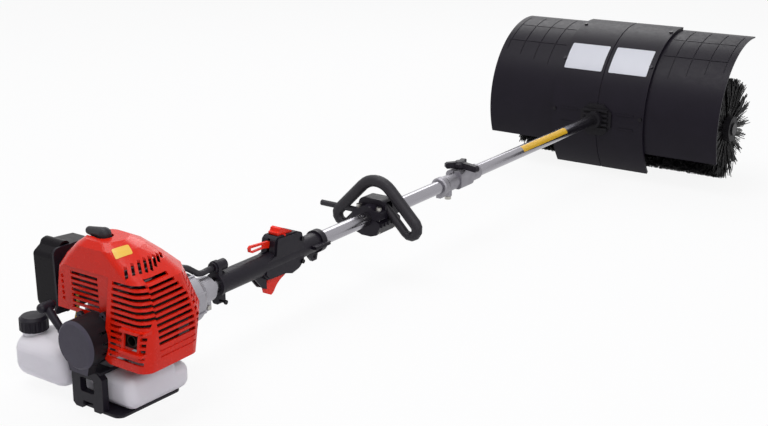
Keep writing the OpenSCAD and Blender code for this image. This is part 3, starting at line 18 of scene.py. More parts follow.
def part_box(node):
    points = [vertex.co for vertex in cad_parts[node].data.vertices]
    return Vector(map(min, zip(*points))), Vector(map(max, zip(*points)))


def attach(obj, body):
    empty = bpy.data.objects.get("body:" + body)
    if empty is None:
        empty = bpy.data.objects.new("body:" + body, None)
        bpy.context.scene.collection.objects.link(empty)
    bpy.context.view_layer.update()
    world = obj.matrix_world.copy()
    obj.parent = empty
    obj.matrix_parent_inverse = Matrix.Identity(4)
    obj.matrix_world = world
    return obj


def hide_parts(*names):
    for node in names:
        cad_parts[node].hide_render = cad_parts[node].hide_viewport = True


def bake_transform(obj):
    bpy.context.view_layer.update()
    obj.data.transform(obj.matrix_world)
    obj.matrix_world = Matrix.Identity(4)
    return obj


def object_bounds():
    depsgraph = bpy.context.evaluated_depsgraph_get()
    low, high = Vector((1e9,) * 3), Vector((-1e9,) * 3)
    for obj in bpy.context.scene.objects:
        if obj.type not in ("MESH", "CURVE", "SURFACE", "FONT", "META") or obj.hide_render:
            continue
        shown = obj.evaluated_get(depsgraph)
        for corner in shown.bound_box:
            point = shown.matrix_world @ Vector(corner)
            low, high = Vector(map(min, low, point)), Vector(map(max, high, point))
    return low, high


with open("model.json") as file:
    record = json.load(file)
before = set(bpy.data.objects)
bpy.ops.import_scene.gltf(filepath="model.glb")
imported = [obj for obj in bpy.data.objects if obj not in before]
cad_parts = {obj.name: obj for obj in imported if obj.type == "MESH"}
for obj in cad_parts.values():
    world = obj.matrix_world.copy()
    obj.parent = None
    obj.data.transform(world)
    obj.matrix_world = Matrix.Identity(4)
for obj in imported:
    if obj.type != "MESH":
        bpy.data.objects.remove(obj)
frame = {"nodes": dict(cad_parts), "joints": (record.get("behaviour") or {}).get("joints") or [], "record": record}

cad_low, cad_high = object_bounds()
print("CAD box in metres:", [round(n, 3) for n in cad_high - cad_low])

# %% [markdown]
# ## The camera
# The photograph was taken from behind the engine, a little above it, looking along the shaft to the brush.
# A camera can be guessed by eye and nudged, but here its angles were solved from points whose place
# is known. The lens follows from the focal length in pixels: Blender counts it in millimetres
# on a 36 mm wide sensor.

# %% Camera
photo_width = 768
focal_pixels = 1219.5
sensor_mm = 36
yaw, pitch, roll = (math.radians(angle) for angle in (34.8512, 16.532, 0.6954))
camera_place = Vector((-1.06503, -1.23841, 0.76366))

looking = Vector((math.cos(yaw) * math.cos(pitch), math.sin(yaw) * math.cos(pitch), -math.sin(pitch)))
to_right = Vector((math.sin(yaw), -math.cos(yaw), 0))
upright = Matrix((to_right, to_right.cross(looking), -looking)).transposed()

camera_data = bpy.data.cameras.new("photo_camera")
camera_data.sensor_fit = "HORIZONTAL"
camera_data.sensor_width = sensor_mm
camera_data.lens = sensor_mm * focal_pixels / photo_width
camera = bpy.data.objects.new("photo_camera", camera_data)
camera.matrix_world = Matrix.Translation(camera_place) @ (upright @ Matrix.Rotation(roll, 3, "Z")).to_4x4()
bpy.context.scene.collection.objects.link(camera)
bpy.context.scene.camera = camera
print("lens in mm:", round(camera_data.lens, 2))

# %% [markdown]
# ## A frame along the shaft
# Most parts sit on the shaft, which tilts up a little from the engine, so they are easiest to place
# along it. The drive shaft's joint gives the axis. From it comes one matrix whose first axis runs
# along the shaft, the second to the left and the third up.

# %% Shaft frame
drive_joint = next(joint for joint in frame["joints"] if joint["name"] == "drive_spin")
joint_station = 1.0  # the joint stands this many metres along the shaft
along = Vector(drive_joint["axis"]).normalized()
leftward = Vector((0, 1, 0))
above = along.cross(leftward)
shaft_zero = Vector(drive_joint["pos_m"]) - joint_station * along
shaft = Matrix.Translation(shaft_zero) @ Matrix((along, leftward, above)).transposed().to_4x4()
shaft_tilt = math.asin(along.z)
print("shaft starts at", [round(n, 4) for n in shaft_zero], "tilt", round(math.degrees(shaft_tilt), 2))

# %% [markdown]
# ## Nodes, colours and scales
# Every finish below is a small node tree on Blender's Principled shader.
# Colours are written as sRGB hex, as a colour picker shows them, and turned to the linear values
# that shaders use. Patterns read Object coordinates in metres, so a grain of so many millimetres
# is a scale of 1000 over that.

# %% Small helpers for materials
def linear(hex_colour):
    """An sRGB hex colour as the linear colour that a shader socket takes."""
    parts = [int(hex_colour[i:i + 2], 16) / 255 for i in (1, 3, 5)]
    return [c / 12.92 if c <= 0.04045 else ((c + 0.055) / 1.055) ** 2.4 for c in parts] + [1.0]


def add_node(tree, kind, inputs=None, **settings):
    """Adds one node, sets its settings, and fills its inputs with values or links from other sockets."""
    node = tree.nodes.new(kind)
    for name, value in settings.items():
        setattr(node, name, value)
    for socket, value in (inputs or {}).items():
        if isinstance(value, bpy.types.NodeSocket):
            tree.links.new(value, node.inputs[socket])
        else:
            node.inputs[socket].default_value = value
    return node


def start_material(name, constants):
    """A new material, its node tree and its shader, with the constants set on the shader's own sockets."""
    material = bpy.data.materials.new(name)
    material.use_nodes = True
    tree = material.node_tree
    shader = tree.nodes["Principled BSDF"]
    for socket, value in constants.items():
        shader.inputs[socket].default_value = value
    return material, tree, shader


def repeats(millimetres):
    """The texture scale that makes one repeat of a pattern this many millimetres wide."""
    return 1000 / millimetres


finishes = {}
print("orange check:", [round(c, 3) for c in linear("#ff8000")[:3]])

# %% [markdown]
# ## Moulded plastics
# The cover, grips, hood and caps are injection moulded. The steel mould leaves its own skin on the plastic:
# a polished mould gives gloss that wavers slightly, an eroded one gives a fine even grain.
# A broad noise shifts the colour where the plastic cooled unevenly or was handled, a finer one breaks
# the gloss, and the finest is the grain, sent to a Bump node. One recipe serves all the plastics,
# each with its own sizes. CAD gives some round forms as small flat facets. Where they would show,
# a Bevel node shades across their edges.

# %% Moulded plastic recipe
# The sockets that a Mix node uses for colours, by number, because several share a name.
MIX_FACTOR, MIX_A, MIX_B, MIX_RESULT = 0, 6, 7, 2
# Nearly all of a noise lies between these values, so gloss is spread over that range.
noise_low, noise_high = 0.3, 0.7
cloud_mm, smear_mm = 60, 9


def moulded(name, fresh, handled, gloss, grain_mm, grain_depth_mm, soften_mm=0, **constants):
    """Moulded plastic: two near colours, a range of roughness, the mould's grain and softened facets."""
    material, tree, shader = start_material(name, constants)
    where = add_node(tree, "ShaderNodeTexCoord").outputs["Object"]
    cloud = add_node(tree, "ShaderNodeTexNoise", {
        "Vector": where, "Scale": repeats(cloud_mm), "Detail": 3.0})
    tint = add_node(tree, "ShaderNodeMix", {MIX_FACTOR: cloud.outputs["Fac"], MIX_A: linear(fresh),
                                            MIX_B: linear(handled)}, data_type="RGBA")
    smear = add_node(tree, "ShaderNodeTexNoise", {
        "Vector": where, "Scale": repeats(smear_mm), "Detail": 4.0, "Distortion": 0.6})
    sheen = add_node(tree, "ShaderNodeMapRange", {
        "Value": smear.outputs["Fac"], "From Min": noise_low, "From Max": noise_high,
        "To Min": gloss[0], "To Max": gloss[1]})
    skin = add_node(tree, "ShaderNodeTexNoise", {
        "Vector": where, "Scale": repeats(grain_mm), "Detail": 2.0})
    relief = add_node(tree, "ShaderNodeBump", {"Height": skin.outputs["Fac"], "Strength": 0.6,
                                               "Distance": grain_depth_mm / 1000})
    if soften_mm:
        facets = add_node(tree, "ShaderNodeBevel", {"Radius": soften_mm / 1000}, samples=8)
        tree.links.new(facets.outputs["Normal"], relief.inputs["Normal"])
    tree.links.new(tint.outputs[MIX_RESULT], shader.inputs["Base Color"])
    tree.links.new(sheen.outputs["Result"], shader.inputs["Roughness"])
    tree.links.new(relief.outputs["Normal"], shader.inputs["Normal"])
    return material


# %% The plastics of this machine
# Red ABS from a polished mould: saturated, with a clear gloss that only wavers a little.
finishes["red_plastic"] = moulded("red_abs_polished_mould", "#da2008", "#cc1b07", (0.2, 0.3), 7, 0.02,
                                  **{"IOR": 1.53, "Specular IOR Level": 0.22})
# Red nylon of the trigger, the lockout and the stop switch: satin, more orange than the cover, and lighter,
# as painted light on parts that lie in the grip's shade.
controls_painted_light_finish = moulded("red_nylon_controls_painted_light", "#ee280f", "#e0220c", (0.3, 0.42), 0.9, 0.03,
                         **{"IOR": 1.5, "Specular IOR Level": 0.25})
# Glass filled nylon from an eroded mould: near black, satin, with an even grain (drawn at 0.9 mm to show).
finishes["black_plastic"] = moulded("black_nylon_eroded_mould", "#15121a", "#1c1822", (0.36, 0.5), 0.9,
                                    0.05, **{"IOR": 1.5, "Specular IOR Level": 0.2})
# The filter cover's nylon is from a smoother mould, with little sheen where it faces us.
# Its colour is the blackest, as painted shade on its front, which faces away from the light.
filter_cover_painted_shade_finish = moulded("black_nylon_smooth_mould_painted_shade", "#0f0c11", "#161318", (0.26, 0.36), 3, 0.02,
                        **{"IOR": 1.5, "Specular IOR Level": 0.08})
# Moulded polypropylene of the hood: charcoal, with a broad satin sheen and a soft fine grain.
hood_finish = moulded("charcoal_polypropylene_hood", "#15121a", "#1c1822", (0.34, 0.46), 1.4, 0.03,
                      **{"IOR": 1.49, "Specular IOR Level": 0.14})
# The starter cover is glass filled nylon too, matt; its flat face is painted dark grey as painted light.
starter_cover_light_and_shade_finish = moulded("nylon_starter_cover_painted_light_and_shade", "#494552", "#3d3a45", (0.42, 0.55), 0.9, 0.05,
                         **{"IOR": 1.5, "Specular IOR Level": 0.2})
# Black paint on castings, dull and dry: the hood bracket and the brush cores. The fan housing behind
# the cover's slots gets it too, as painted shade, so that the slots look dark inside.
casting_paint_and_painted_shade = moulded("black_casting_paint_and_painted_shade", "#100e12", "#17151a", (0.5, 0.65), 2.5, 0.05,
                          **{"IOR": 1.5, "Specular IOR Level": 0.2})
# Moulded rubber, as on the loop handle, the boot and the conduit: dull black and dry, with a soft sheen.
finishes["rubber"] = moulded("black_rubber_moulded", "#1a171d", "#222026", (0.44, 0.6), 1.2, 0.06,
                             soften_mm=3, **{"IOR": 1.52, "Specular IOR Level": 0.3})
# Blow moulded polyethylene of the tank: milky and waxy, with light that sinks in and comes out softened.
finishes["tank_plastic"] = moulded("milky_polyethylene_tank", "#eeeaf2", "#e4dfe9", (0.32, 0.44), 5, 0.05,
                                   soften_mm=4, **{"IOR": 1.54, "Subsurface Weight": 0.35,
                                                   "Subsurface Scale": 0.006,
                                                   "Subsurface Radius": (1.0, 0.9, 0.95)})
# Polyurethane fuel hose: honey yellow, shiny, a little see-through at its edges.
finishes["fuel_hose"] = moulded("yellow_polyurethane_hose", "#d9b23c", "#c79a2b", (0.18, 0.28), 3, 0.02,
                                **{"IOR": 1.5, "Subsurface Weight": 0.3, "Subsurface Scale": 0.002})
# Open cell filter foam: dull grey, pitted by its cells, which are 1.5 mm.
finishes["filter_foam"] = moulded("grey_filter_foam", "#56544f", "#45433f", (0.85, 0.95), 1.5, 0.6,
                                  **{"IOR": 1.4})
# Glazed alumina of the spark plug: white, hard and very smooth.
finishes["ceramic"] = moulded("white_glazed_alumina", "#ece9e2", "#e0dcd4", (0.1, 0.16), 4, 0.01,
                              **{"IOR": 1.76})
print("slots with a moulded finish:", sorted(finishes))

# %% [markdown]
# ## Metals
# Three ways of making show on the metal parts. Die casting leaves a dull, slightly pebbled grey
# with darker flow marks. Drawing a tube through a die leaves long fine lines, so that pattern is stretched
# along the shaft. Turning and plating leave bright steel with small patches of haze.
# Metals keep the default IOR.

# %% Cast, plated and bronze recipe
def bare_metal(name, bright, dull, gloss, patch_mm, pit_mm, pit_depth_mm, stretch=(1, 1, 1)):
    """Bare metal: patches of haze between two greys, and pits or lines from how it was made."""
    material, tree, shader = start_material(name, {"Metallic": 1.0})
    place = add_node(tree, "ShaderNodeTexCoord").outputs["Object"]
    lined = add_node(tree, "ShaderNodeMapping", {
        "Vector": place, "Rotation": (0, shaft_tilt, 0), "Scale": stretch})
    patches = add_node(tree, "ShaderNodeTexNoise", {
        "Vector": lined.outputs["Vector"], "Scale": repeats(patch_mm), "Detail": 5.0, "Roughness": 0.6})
    tint = add_node(tree, "ShaderNodeMix", {MIX_FACTOR: patches.outputs["Fac"], MIX_A: linear(bright),
                                            MIX_B: linear(dull)}, data_type="RGBA")
    haze = add_node(tree, "ShaderNodeMapRange", {
        "Value": patches.outputs["Fac"], "From Min": noise_low, "From Max": noise_high,
        "To Min": gloss[0], "To Max": gloss[1]})
    pits = add_node(tree, "ShaderNodeTexNoise", {
        "Vector": lined.outputs["Vector"], "Scale": repeats(pit_mm), "Detail": 3.0})
    relief = add_node(tree, "ShaderNodeBump", {"Height": pits.outputs["Fac"], "Strength": 0.5,
                                               "Distance": pit_depth_mm / 1000})
    tree.links.new(tint.outputs[MIX_RESULT], shader.inputs["Base Color"])
    tree.links.new(haze.outputs["Result"], shader.inputs["Roughness"])
    tree.links.new(relief.outputs["Normal"], shader.inputs["Normal"])
    return material


# %% The metals of this machine
# Die cast aluminium, shot blasted: a flat mid grey with a soft pebble of about 1.5 mm.
finishes["cast_aluminium"] = bare_metal("die_cast_aluminium", "#a9a7ad", "#96949a", (0.45, 0.6), 18, 1.5,
                                        0.12)
# The coupler is a zinc alloy casting, darker than the aluminium of the clutch bell and the gear case.
coupler_finish = bare_metal("die_cast_zinc_alloy", "#9a989e", "#838187", (0.42, 0.56), 18, 1.5, 0.12)
# Drawn aluminium tube: shiny, with die lines a millimetre apart that run about thirty times as far.
finishes["tube_aluminium"] = bare_metal("drawn_aluminium_tube", "#a19fa5", "#918f95", (0.18, 0.23), 4, 1.0,
                                        0.004, stretch=(0.03, 1, 1))
# Zinc plated steel: bright and slightly warm, with small hazy patches.
zinc_bright, zinc_dull = "#bdbbb8", "#98968f"
finishes["steel"] = bare_metal("zinc_plated_steel", zinc_bright, zinc_dull, (0.25, 0.4), 6, 1.2, 0.02)
# Sintered bronze of the bushes and the worm wheel: a soft brown gold.
finishes["bronze"] = bare_metal("sintered_bronze", "#b08a52", "#8d6a3a", (0.35, 0.5), 5, 0.8, 0.04)
# Black oxide on the brush axle: a thin, near black skin over steel.
black_oxide = bare_metal("black_oxide_steel", "#39383b", "#29282b", (0.35, 0.5), 6, 1.2, 0.02)
# Steel of the muffler, blackened by heat, and darker still as painted shade, so its outlet window reads as a dark
# hole.
muffler_heat_and_painted_shade_finish = bare_metal("heat_blackened_steel_painted_shade", "#37322e", "#221e1b", (0.45, 0.65), 15, 1.2, 0.05)
print("slots with a finish so far:", len(finishes))

# %% [markdown]
# The screws are one CAD part but not one finish: those of the hood and the grip are blackened
# and the rest are bright. Their place along the machine tells them apart,
# so the colour switches on the Object coordinate's X.

# %% Screws in two finishes
hood_starts, grip_middle, grip_half = 1.55, 0.36, 0.115  # metres along the machine
screw_haze_mm = 3
screw_finish, tree, shader = start_material("zinc_and_black_oxide_screws", {"Metallic": 1.0})
where = add_node(tree, "ShaderNodeTexCoord").outputs["Object"]
station = add_node(tree, "ShaderNodeSeparateXYZ", {"Vector": where}).outputs["X"]
on_hood = add_node(tree, "ShaderNodeMath", {0: station, 1: hood_starts}, operation="GREATER_THAN")
on_grip = add_node(tree, "ShaderNodeMath", {0: station, 1: grip_middle, 2: grip_half}, operation="COMPARE")
blackened = add_node(tree, "ShaderNodeMath", {0: on_hood.outputs["Value"], 1: on_grip.outputs["Value"]},
                     operation="MAXIMUM")
haze = add_node(tree, "ShaderNodeTexNoise", {
    "Vector": where, "Scale": repeats(screw_haze_mm), "Detail": 4.0})
zinc = add_node(tree, "ShaderNodeMix", {MIX_FACTOR: haze.outputs["Fac"], MIX_A: linear(zinc_bright),
                                        MIX_B: linear(zinc_dull)}, data_type="RGBA")
tint = add_node(tree, "ShaderNodeMix", {
    MIX_FACTOR: blackened.outputs["Value"], MIX_A: zinc.outputs[MIX_RESULT],
    MIX_B: linear("#2a292c")}, data_type="RGBA")
sheen = add_node(tree, "ShaderNodeMapRange", {"Value": haze.outputs["Fac"], "To Min": 0.25, "To Max": 0.45})
tree.links.new(tint.outputs[MIX_RESULT], shader.inputs["Base Color"])
tree.links.new(sheen.outputs["Result"], shader.inputs["Roughness"])
print("screws turn black beyond", hood_starts, "m and within", grip_half, "m of", grip_middle, "m")

# %% [markdown]
# The starter cover is also two toned, as painted light: its flat face, which faces the light, is painted grey,
# and its rim, which lies in the engine cover's shade, is painted near black as painted shade.
# The surface's own direction tells face and rim apart.
# The surface's own direction tells face and rim apart.

# %% Starter cover: painted light on the face, painted shade on the rim
lit_face_limit = 0.5  # the least cosine between the surface and the way back that counts as the face
tree = starter_cover_light_and_shade_finish.node_tree
shader = tree.nodes["Principled BSDF"]
painted_lit_face_tint = shader.inputs["Base Color"].links[0].from_socket
normal = add_node(tree, "ShaderNodeTexCoord").outputs["Normal"]
rearward = add_node(tree, "ShaderNodeVectorMath", {0: normal, 1: -along}, operation="DOT_PRODUCT")
lit_face_mask = add_node(tree, "ShaderNodeMath", {0: rearward.outputs["Value"], 1: lit_face_limit},
                   operation="GREATER_THAN")
# The near black of the rim is painted shade; the face keeps its grey tint as painted light.
tint = add_node(tree, "ShaderNodeMix", {MIX_FACTOR: lit_face_mask.outputs["Value"], MIX_A: linear("#110e13"),
                                        MIX_B: painted_lit_face_tint}, data_type="RGBA")
tree.links.new(tint.outputs[MIX_RESULT], shader.inputs["Base Color"])
print("grey face looks along", [round(n, 3) for n in -along])

# %% [markdown]
# ## Nylon bristles and rope
# A bristle is an extruded nylon strand about two millimetres thick. In bulk it looks black, with thin
# bright glints along single strands, and no two strands are the same grey.
# A noise a few strands wide makes that difference.

# %% Bristle finish
nylon, tree, shader = start_material("black_nylon_bristle", {"IOR": 1.53, "Specular IOR Level": 0.14})
where = add_node(tree, "ShaderNodeTexCoord").outputs["Object"]
strand_noise_mm = 5
strand_grey = add_node(tree, "ShaderNodeTexNoise", {"Vector": where, "Scale": repeats(strand_noise_mm),
                                                    "Detail": 2.0})
tint = add_node(tree, "ShaderNodeMix", {MIX_FACTOR: strand_grey.outputs["Fac"], MIX_A: linear("#050406"),
                                        MIX_B: linear("#110f13")}, data_type="RGBA")
glint = add_node(tree, "ShaderNodeMapRange", {"Value": strand_grey.outputs["Fac"],
                                              "To Min": 0.5, "To Max": 0.3})
tree.links.new(tint.outputs[MIX_RESULT], shader.inputs["Base Color"])
tree.links.new(glint.outputs["Result"], shader.inputs["Roughness"])
finishes["nylon"] = nylon
print("the grey of the strands changes over", strand_noise_mm, "mm")

# %% [markdown]
# The starter rope is braided polyester. Its yarns could be modelled, but on a rope this thin they would
# hardly show, so two sets of slanted bands that cross stand for the braid, in colour and relief.

# %% Rope finish
rope_finish, tree, shader = start_material("braided_polyester_rope", {
    "IOR": 1.5, "Sheen Weight": 0.2, "Roughness": 0.7})
where = add_node(tree, "ShaderNodeTexCoord").outputs["Object"]
braid_mm = 2.2
wave_repeat = math.tau / 20  # the length of one band of a wave texture at scale 1
braid_slant = 0.8
bands = []
for slant in (braid_slant, -braid_slant):
    turned = add_node(tree, "ShaderNodeMapping", {"Vector": where, "Rotation": (0, slant, 0)})
    bands.append(add_node(tree, "ShaderNodeTexWave", {
        "Vector": turned.outputs["Vector"], "Scale": repeats(braid_mm) * wave_repeat}, bands_direction="Z"))
crossed = add_node(tree, "ShaderNodeMath", {0: bands[0].outputs["Fac"], 1: bands[1].outputs["Fac"]},
                   operation="MAXIMUM")
tint = add_node(tree, "ShaderNodeMix", {MIX_FACTOR: crossed.outputs["Value"], MIX_A: linear("#151416"),
                                        MIX_B: linear("#55535a")}, data_type="RGBA")
relief = add_node(tree, "ShaderNodeBump", {"Height": crossed.outputs["Value"], "Strength": 0.8,
                                           "Distance": 0.0004})
tree.links.new(tint.outputs[MIX_RESULT], shader.inputs["Base Color"])
tree.links.new(relief.outputs["Normal"], shader.inputs["Normal"])
finishes["rope"] = rope_finish
print("finishes by slot:", sorted(finishes))

# %% [markdown]
# ## Dressing the CAD parts
# The record says which material slot each part has, so most parts get their finish from that list.
# A few parts of the same stock look different on the machine, such as the hood and the hot muffler,
# and are dressed by name afterwards. Only the material slots change: the meshes stay as CAD made them.

# %% Dress the parts
def dress(node, finish):
    """Gives a CAD part its finish on every material slot it has."""
    part = frame["nodes"][node]
    if not part.material_slots:
        part.data.materials.append(finish)
    for part_slot in part.material_slots:
        part_slot.material = finish


for part in frame["record"]["subparts"]:
    dress(part["node"], finishes[part["material_slot"]])
for node in ("hood_bands", "hood_wing_left", "hood_wing_right"):
    dress(node, hood_finish)
# The starter cover's grey face is painted light and its black rim is painted shade.
dress("recoil_housing", starter_cover_light_and_shade_finish)
# The filter cover's extra black is painted shade.
dress("air_filter_cover", filter_cover_painted_shade_finish)
# The muffler's extra black is painted shade in its outlet window.
dress("muffler", muffler_heat_and_painted_shade_finish)
dress("brush_axle", black_oxide)
dress("coupler_body", coupler_finish)
# The fan housing's black is painted shade behind the cover's slots.
for node in ("fan_housing", "hood_bracket", "brush_cores"):
    dress(node, casting_paint_and_painted_shade)
# The controls' lighter red is painted light.
for node in ("throttle_trigger", "lockout_lever", "stop_switch"):
    dress(node, controls_painted_light_finish)
dress("fasteners", screw_finish)
print(len(frame["nodes"]), "parts dressed")

# %% [markdown]
# ## Keeping a new piece
# A piece is built in a bmesh, a mesh held in memory that operators shape step by step.
# When it is done it becomes an object at the origin with its place in its mesh, and rides on one
# of the CAD bodies, so that it moves when the machine is posed.

# %% Piece keeper
def keep_piece(shape, name, finish, body):
    """Turns a finished bmesh into a piece of the scene that moves with a CAD body."""
    mesh = bpy.data.meshes.new(name)
    shape.to_mesh(mesh)
    shape.free()
    mesh.materials.append(finish)
    piece = bpy.data.objects.new(name, mesh)
    bpy.context.scene.collection.objects.link(piece)
    if body:
        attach(piece, body)
    print(name, "has", len(mesh.polygons), "faces")
    return piece


# %% [markdown]
# ## Bristles
# The drum carries tufts of nylon in rows. In CAD each tuft is one flared spike. The real tuft
# is a bundle of loose strands that leave a hole together, spread, bend and end unevenly,
# and that raggedness is what the eye reads as a brush. Hair particles would draw it, but they aren't a mesh
# that other programs can open, so each strand is a thin tube: a triangle extruded three times
# and moved a little sideways on the way. A few different tufts are made once and set down around the core,
# some of them mirrored, as many round and along it as CAD has.

# %% One tuft of loose strands
strand_radius = 0.001
core_radius = 0.031
brush_radius = 0.125
strands_in_tuft = 40
root_round, root_long = 0.0035, 0.0045  # half the size of a tuft at its foot, round the drum and along it
tuft_spread, stray_factor, stray_every = 0.0135, 1.7, 9
tip_scatter, bend_scatter = 0.003, 0.0022
tip_clearance, tip_unevenness = 0.0015, 0.003
tuft_kinds = 8


def grow_strand(shape, root, tip, bend):
    """Adds one strand: a triangle at the root, extruded three times to the tip along a bent way."""
    ring = bmesh.ops.create_circle(shape, segments=3, radius=strand_radius,
                                   matrix=Matrix.Translation(root))["verts"]
    rim = list({edge for vert in ring for edge in vert.link_edges})
    step = (tip - root) / 3
    for sideways in (bend, Vector(), -bend):
        grown = bmesh.ops.extrude_edge_only(shape, edges=rim)["geom"]
        rim = [part for part in grown if isinstance(part, bmesh.types.BMEdge)]
        ring = [part for part in grown if isinstance(part, bmesh.types.BMVert)]
        bmesh.ops.translate(shape, verts=ring, vec=step + sideways)
    bmesh.ops.edgeloop_fill(shape, edges=rim)


def tuft_mesh(seed):
    """A bundle of strands that stands on the core: x goes round the drum, y along it and z outwards."""
    chance = random.Random(seed)
    shape = bmesh.new()
    for number in range(strands_in_tuft):
        turn, out = chance.uniform(0, math.tau), math.sqrt(chance.random())
        root = Vector((root_round * out * math.cos(turn), root_long * out * math.sin(turn), core_radius))
        flare = tuft_spread * (stray_factor if number % stray_every == 0 else 1)
        tip = Vector((flare * out * math.cos(turn) + chance.gauss(0, tip_scatter),
                      flare * out * math.sin(turn) + chance.gauss(0, tip_scatter), 0))
        reach = brush_radius - tip_clearance - abs(chance.gauss(0, tip_unevenness))
        tip.z = math.sqrt(reach ** 2 - tip.x ** 2)
        bend = Vector((chance.gauss(0, bend_scatter), chance.gauss(0, bend_scatter), 0))
        grow_strand(shape, root, tip, bend)
    bmesh.ops.recalc_face_normals(shape, faces=shape.faces)
    mesh = bpy.data.meshes.new(f"tuft_{seed}")
    shape.to_mesh(mesh)
    shape.free()
    return mesh


tufts = [tuft_mesh(seed) for seed in range(tuft_kinds)]
print("strands in a tuft:", strands_in_tuft, "faces in a tuft:", len(tufts[0].polygons))

# %% [markdown]
# Rows of tufts go round and along the drum. The brush joint gives the drum's centre,
# and the CAD bristles give its ends. Every other row is turned half a step,
# so that the strands close the gaps.

# %% Rows of tufts on both halves
brush_centre = Vector(next(joint for joint in frame["joints"] if joint["name"] == "brush_spin")["pos_m"])
tufts_round, tufts_long = 20, 10


def brush_half(name, node):
    """Sets tufts all round one half of the drum, between the ends of its CAD solid."""
    low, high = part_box(node)
    # Rows stand two half steps apart, with one and a half of them before the first and after the last.
    half_step = (high.y - low.y) / (2 * tufts_long + 1)
    chance = random.Random(name)
    shape = bmesh.new()
    for row in range(tufts_long):
        for place in range(tufts_round):
            angle = math.tau * (place + 0.5 * (row % 2)) / tufts_round
            copy = chance.choice(tufts).copy()
            mirrored = Matrix.Diagonal((chance.choice((-1, 1)), 1, 1, 1))
            row_centre = brush_centre + Vector((0, low.y + (2 * row + 1.5) * half_step, 0))
            copy.transform(Matrix.Translation(row_centre) @ Matrix.Rotation(angle, 4, "Y") @ mirrored)
            shape.from_mesh(copy)
            bpy.data.meshes.remove(copy)
    bmesh.ops.recalc_face_normals(shape, faces=shape.faces)
    piece = keep_piece(shape, name, finishes["nylon"], "brush")
    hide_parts(node)


brush_half("nylon_strands_left", "bristles_left")
brush_half("nylon_strands_right", "bristles_right")
for mesh in tufts:
    bpy.data.meshes.remove(mesh)

# %% [markdown]
# ## Starter rope
# The rope leaves the reel, passes the eyelet and ends in the pull grip. When the starter is pulled
# it follows the grip, while its other end stays at the reel.
# The tube is a circle extruded along the pull, in even rings.

# %% Rope
pull = next(joint for joint in frame["joints"] if joint["name"] == "starter_pull")
pull_way = Vector(pull["axis"]).normalized()
rope_thick = 0.0035
rope_low, rope_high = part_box("starter_rope")
rope_middle = (rope_low + rope_high) / 2
rope_long = (rope_high.z - rope_low.z - rope_thick * pull_way.y) / pull_way.z
rope_rings, rope_sides = 24, 12
rope_start = rope_middle - pull_way * rope_long / 2

shape = bmesh.new()
aim = pull_way.to_track_quat("Z", "Y").to_matrix().to_4x4()
first = bmesh.ops.create_circle(shape, segments=rope_sides, radius=rope_thick / 2, cap_ends=True,
                                matrix=Matrix.Translation(rope_start) @ aim)["verts"]
rim = list({edge for vert in first for edge in vert.link_edges})
for ring in range(rope_rings):
    grown = bmesh.ops.extrude_edge_only(shape, edges=rim)["geom"]
    rim = [part for part in grown if isinstance(part, bmesh.types.BMEdge)]
    bmesh.ops.translate(shape, verts=[part for part in grown if isinstance(part, bmesh.types.BMVert)],
                        vec=pull_way * rope_long / rope_rings)
bmesh.ops.edgeloop_fill(shape, edges=rim)
bmesh.ops.recalc_face_normals(shape, faces=shape.faces)
rope = keep_piece(shape, "braided_starter_rope", rope_finish, None)
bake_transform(rope)
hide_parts("starter_rope")
print("rope length in mm:", round(1000 * rope_long, 1))

# %% [markdown]
# ## Stickers
# The hood has two white labels beside its seam, the lower tube a yellow one and the engine cover
# a small yellow one. They are plain. A sticker is a thin sheet that follows what it is stuck to:
# on the hood and the tube an edge spun about the same axis gives exactly that curve,
# and on the cover a flat grid is drawn onto its surface.

# %% Sticker finishes and the spun sticker
# Polyester film: even colour with a faint mottle of the ink, and the soft gloss of its clear top layer.
white_film = moulded("white_polyester_label", "#cdced8", "#c4c6d0", (0.3, 0.4), 2, 0.01, **{"IOR": 1.57})
yellow_film = moulded("yellow_polyester_label", "#e8b92c", "#dfae22", (0.3, 0.4), 2, 0.01, **{"IOR": 1.57})
film_thick = 0.0002
label_corner = 0.003
spin_steps = 10


def thicken(shape, corner):
    """Rounds the outer corners of a sheet and gives it the thickness of film."""
    corners = [vert for vert in shape.verts if len(vert.link_faces) == 1]
    bmesh.ops.bevel(shape, geom=corners, offset=corner, affect="VERTICES", segments=4, profile=0.5,
                    material=-1)
    bmesh.ops.recalc_face_normals(shape, faces=shape.faces)
    bmesh.ops.solidify(shape, geom=shape.faces[:], thickness=film_thick)


def spun_sticker(name, finish, first, last, axis, turn, place):
    """A sticker on a round surface: the edge from first to last, spun about an axis and put in place."""
    shape = bmesh.new()
    ends = [shape.verts.new(first), shape.verts.new(last)]
    edge = shape.edges.new(ends)
    bmesh.ops.spin(shape, geom=ends + [edge], cent=(0, 0, 0), axis=axis, angle=turn, steps=spin_steps)
    bmesh.ops.remove_doubles(shape, verts=shape.verts, dist=1e-6)
    thicken(shape, label_corner)
    bmesh.ops.transform(shape, matrix=place, verts=shape.verts)
    keep_piece(shape, name, finish, "frame")


# %% Labels on the hood and the tube
hood_axis = (1.816, -0.003)  # metres along the shaft and above it
band_radius = 0.207 + film_thick
label_from, label_to = math.radians(127), math.radians(147.3)
hood_place = shaft @ Matrix.Translation((hood_axis[0], 0, hood_axis[1]))
# Where each label begins and ends, in metres to the left of the hood's seam.
label_spans = (("hood_label_left", 0.008, 0.108), ("hood_label_right", -0.108, -0.010))
for name, near, far in label_spans:
    start = Vector((band_radius * math.cos(label_from), 0, band_radius * math.sin(label_from)))
    spun_sticker(name, white_film, start + Vector((0, near, 0)), start + Vector((0, far, 0)), (0, -1, 0),
                 label_to - label_from, hood_place)

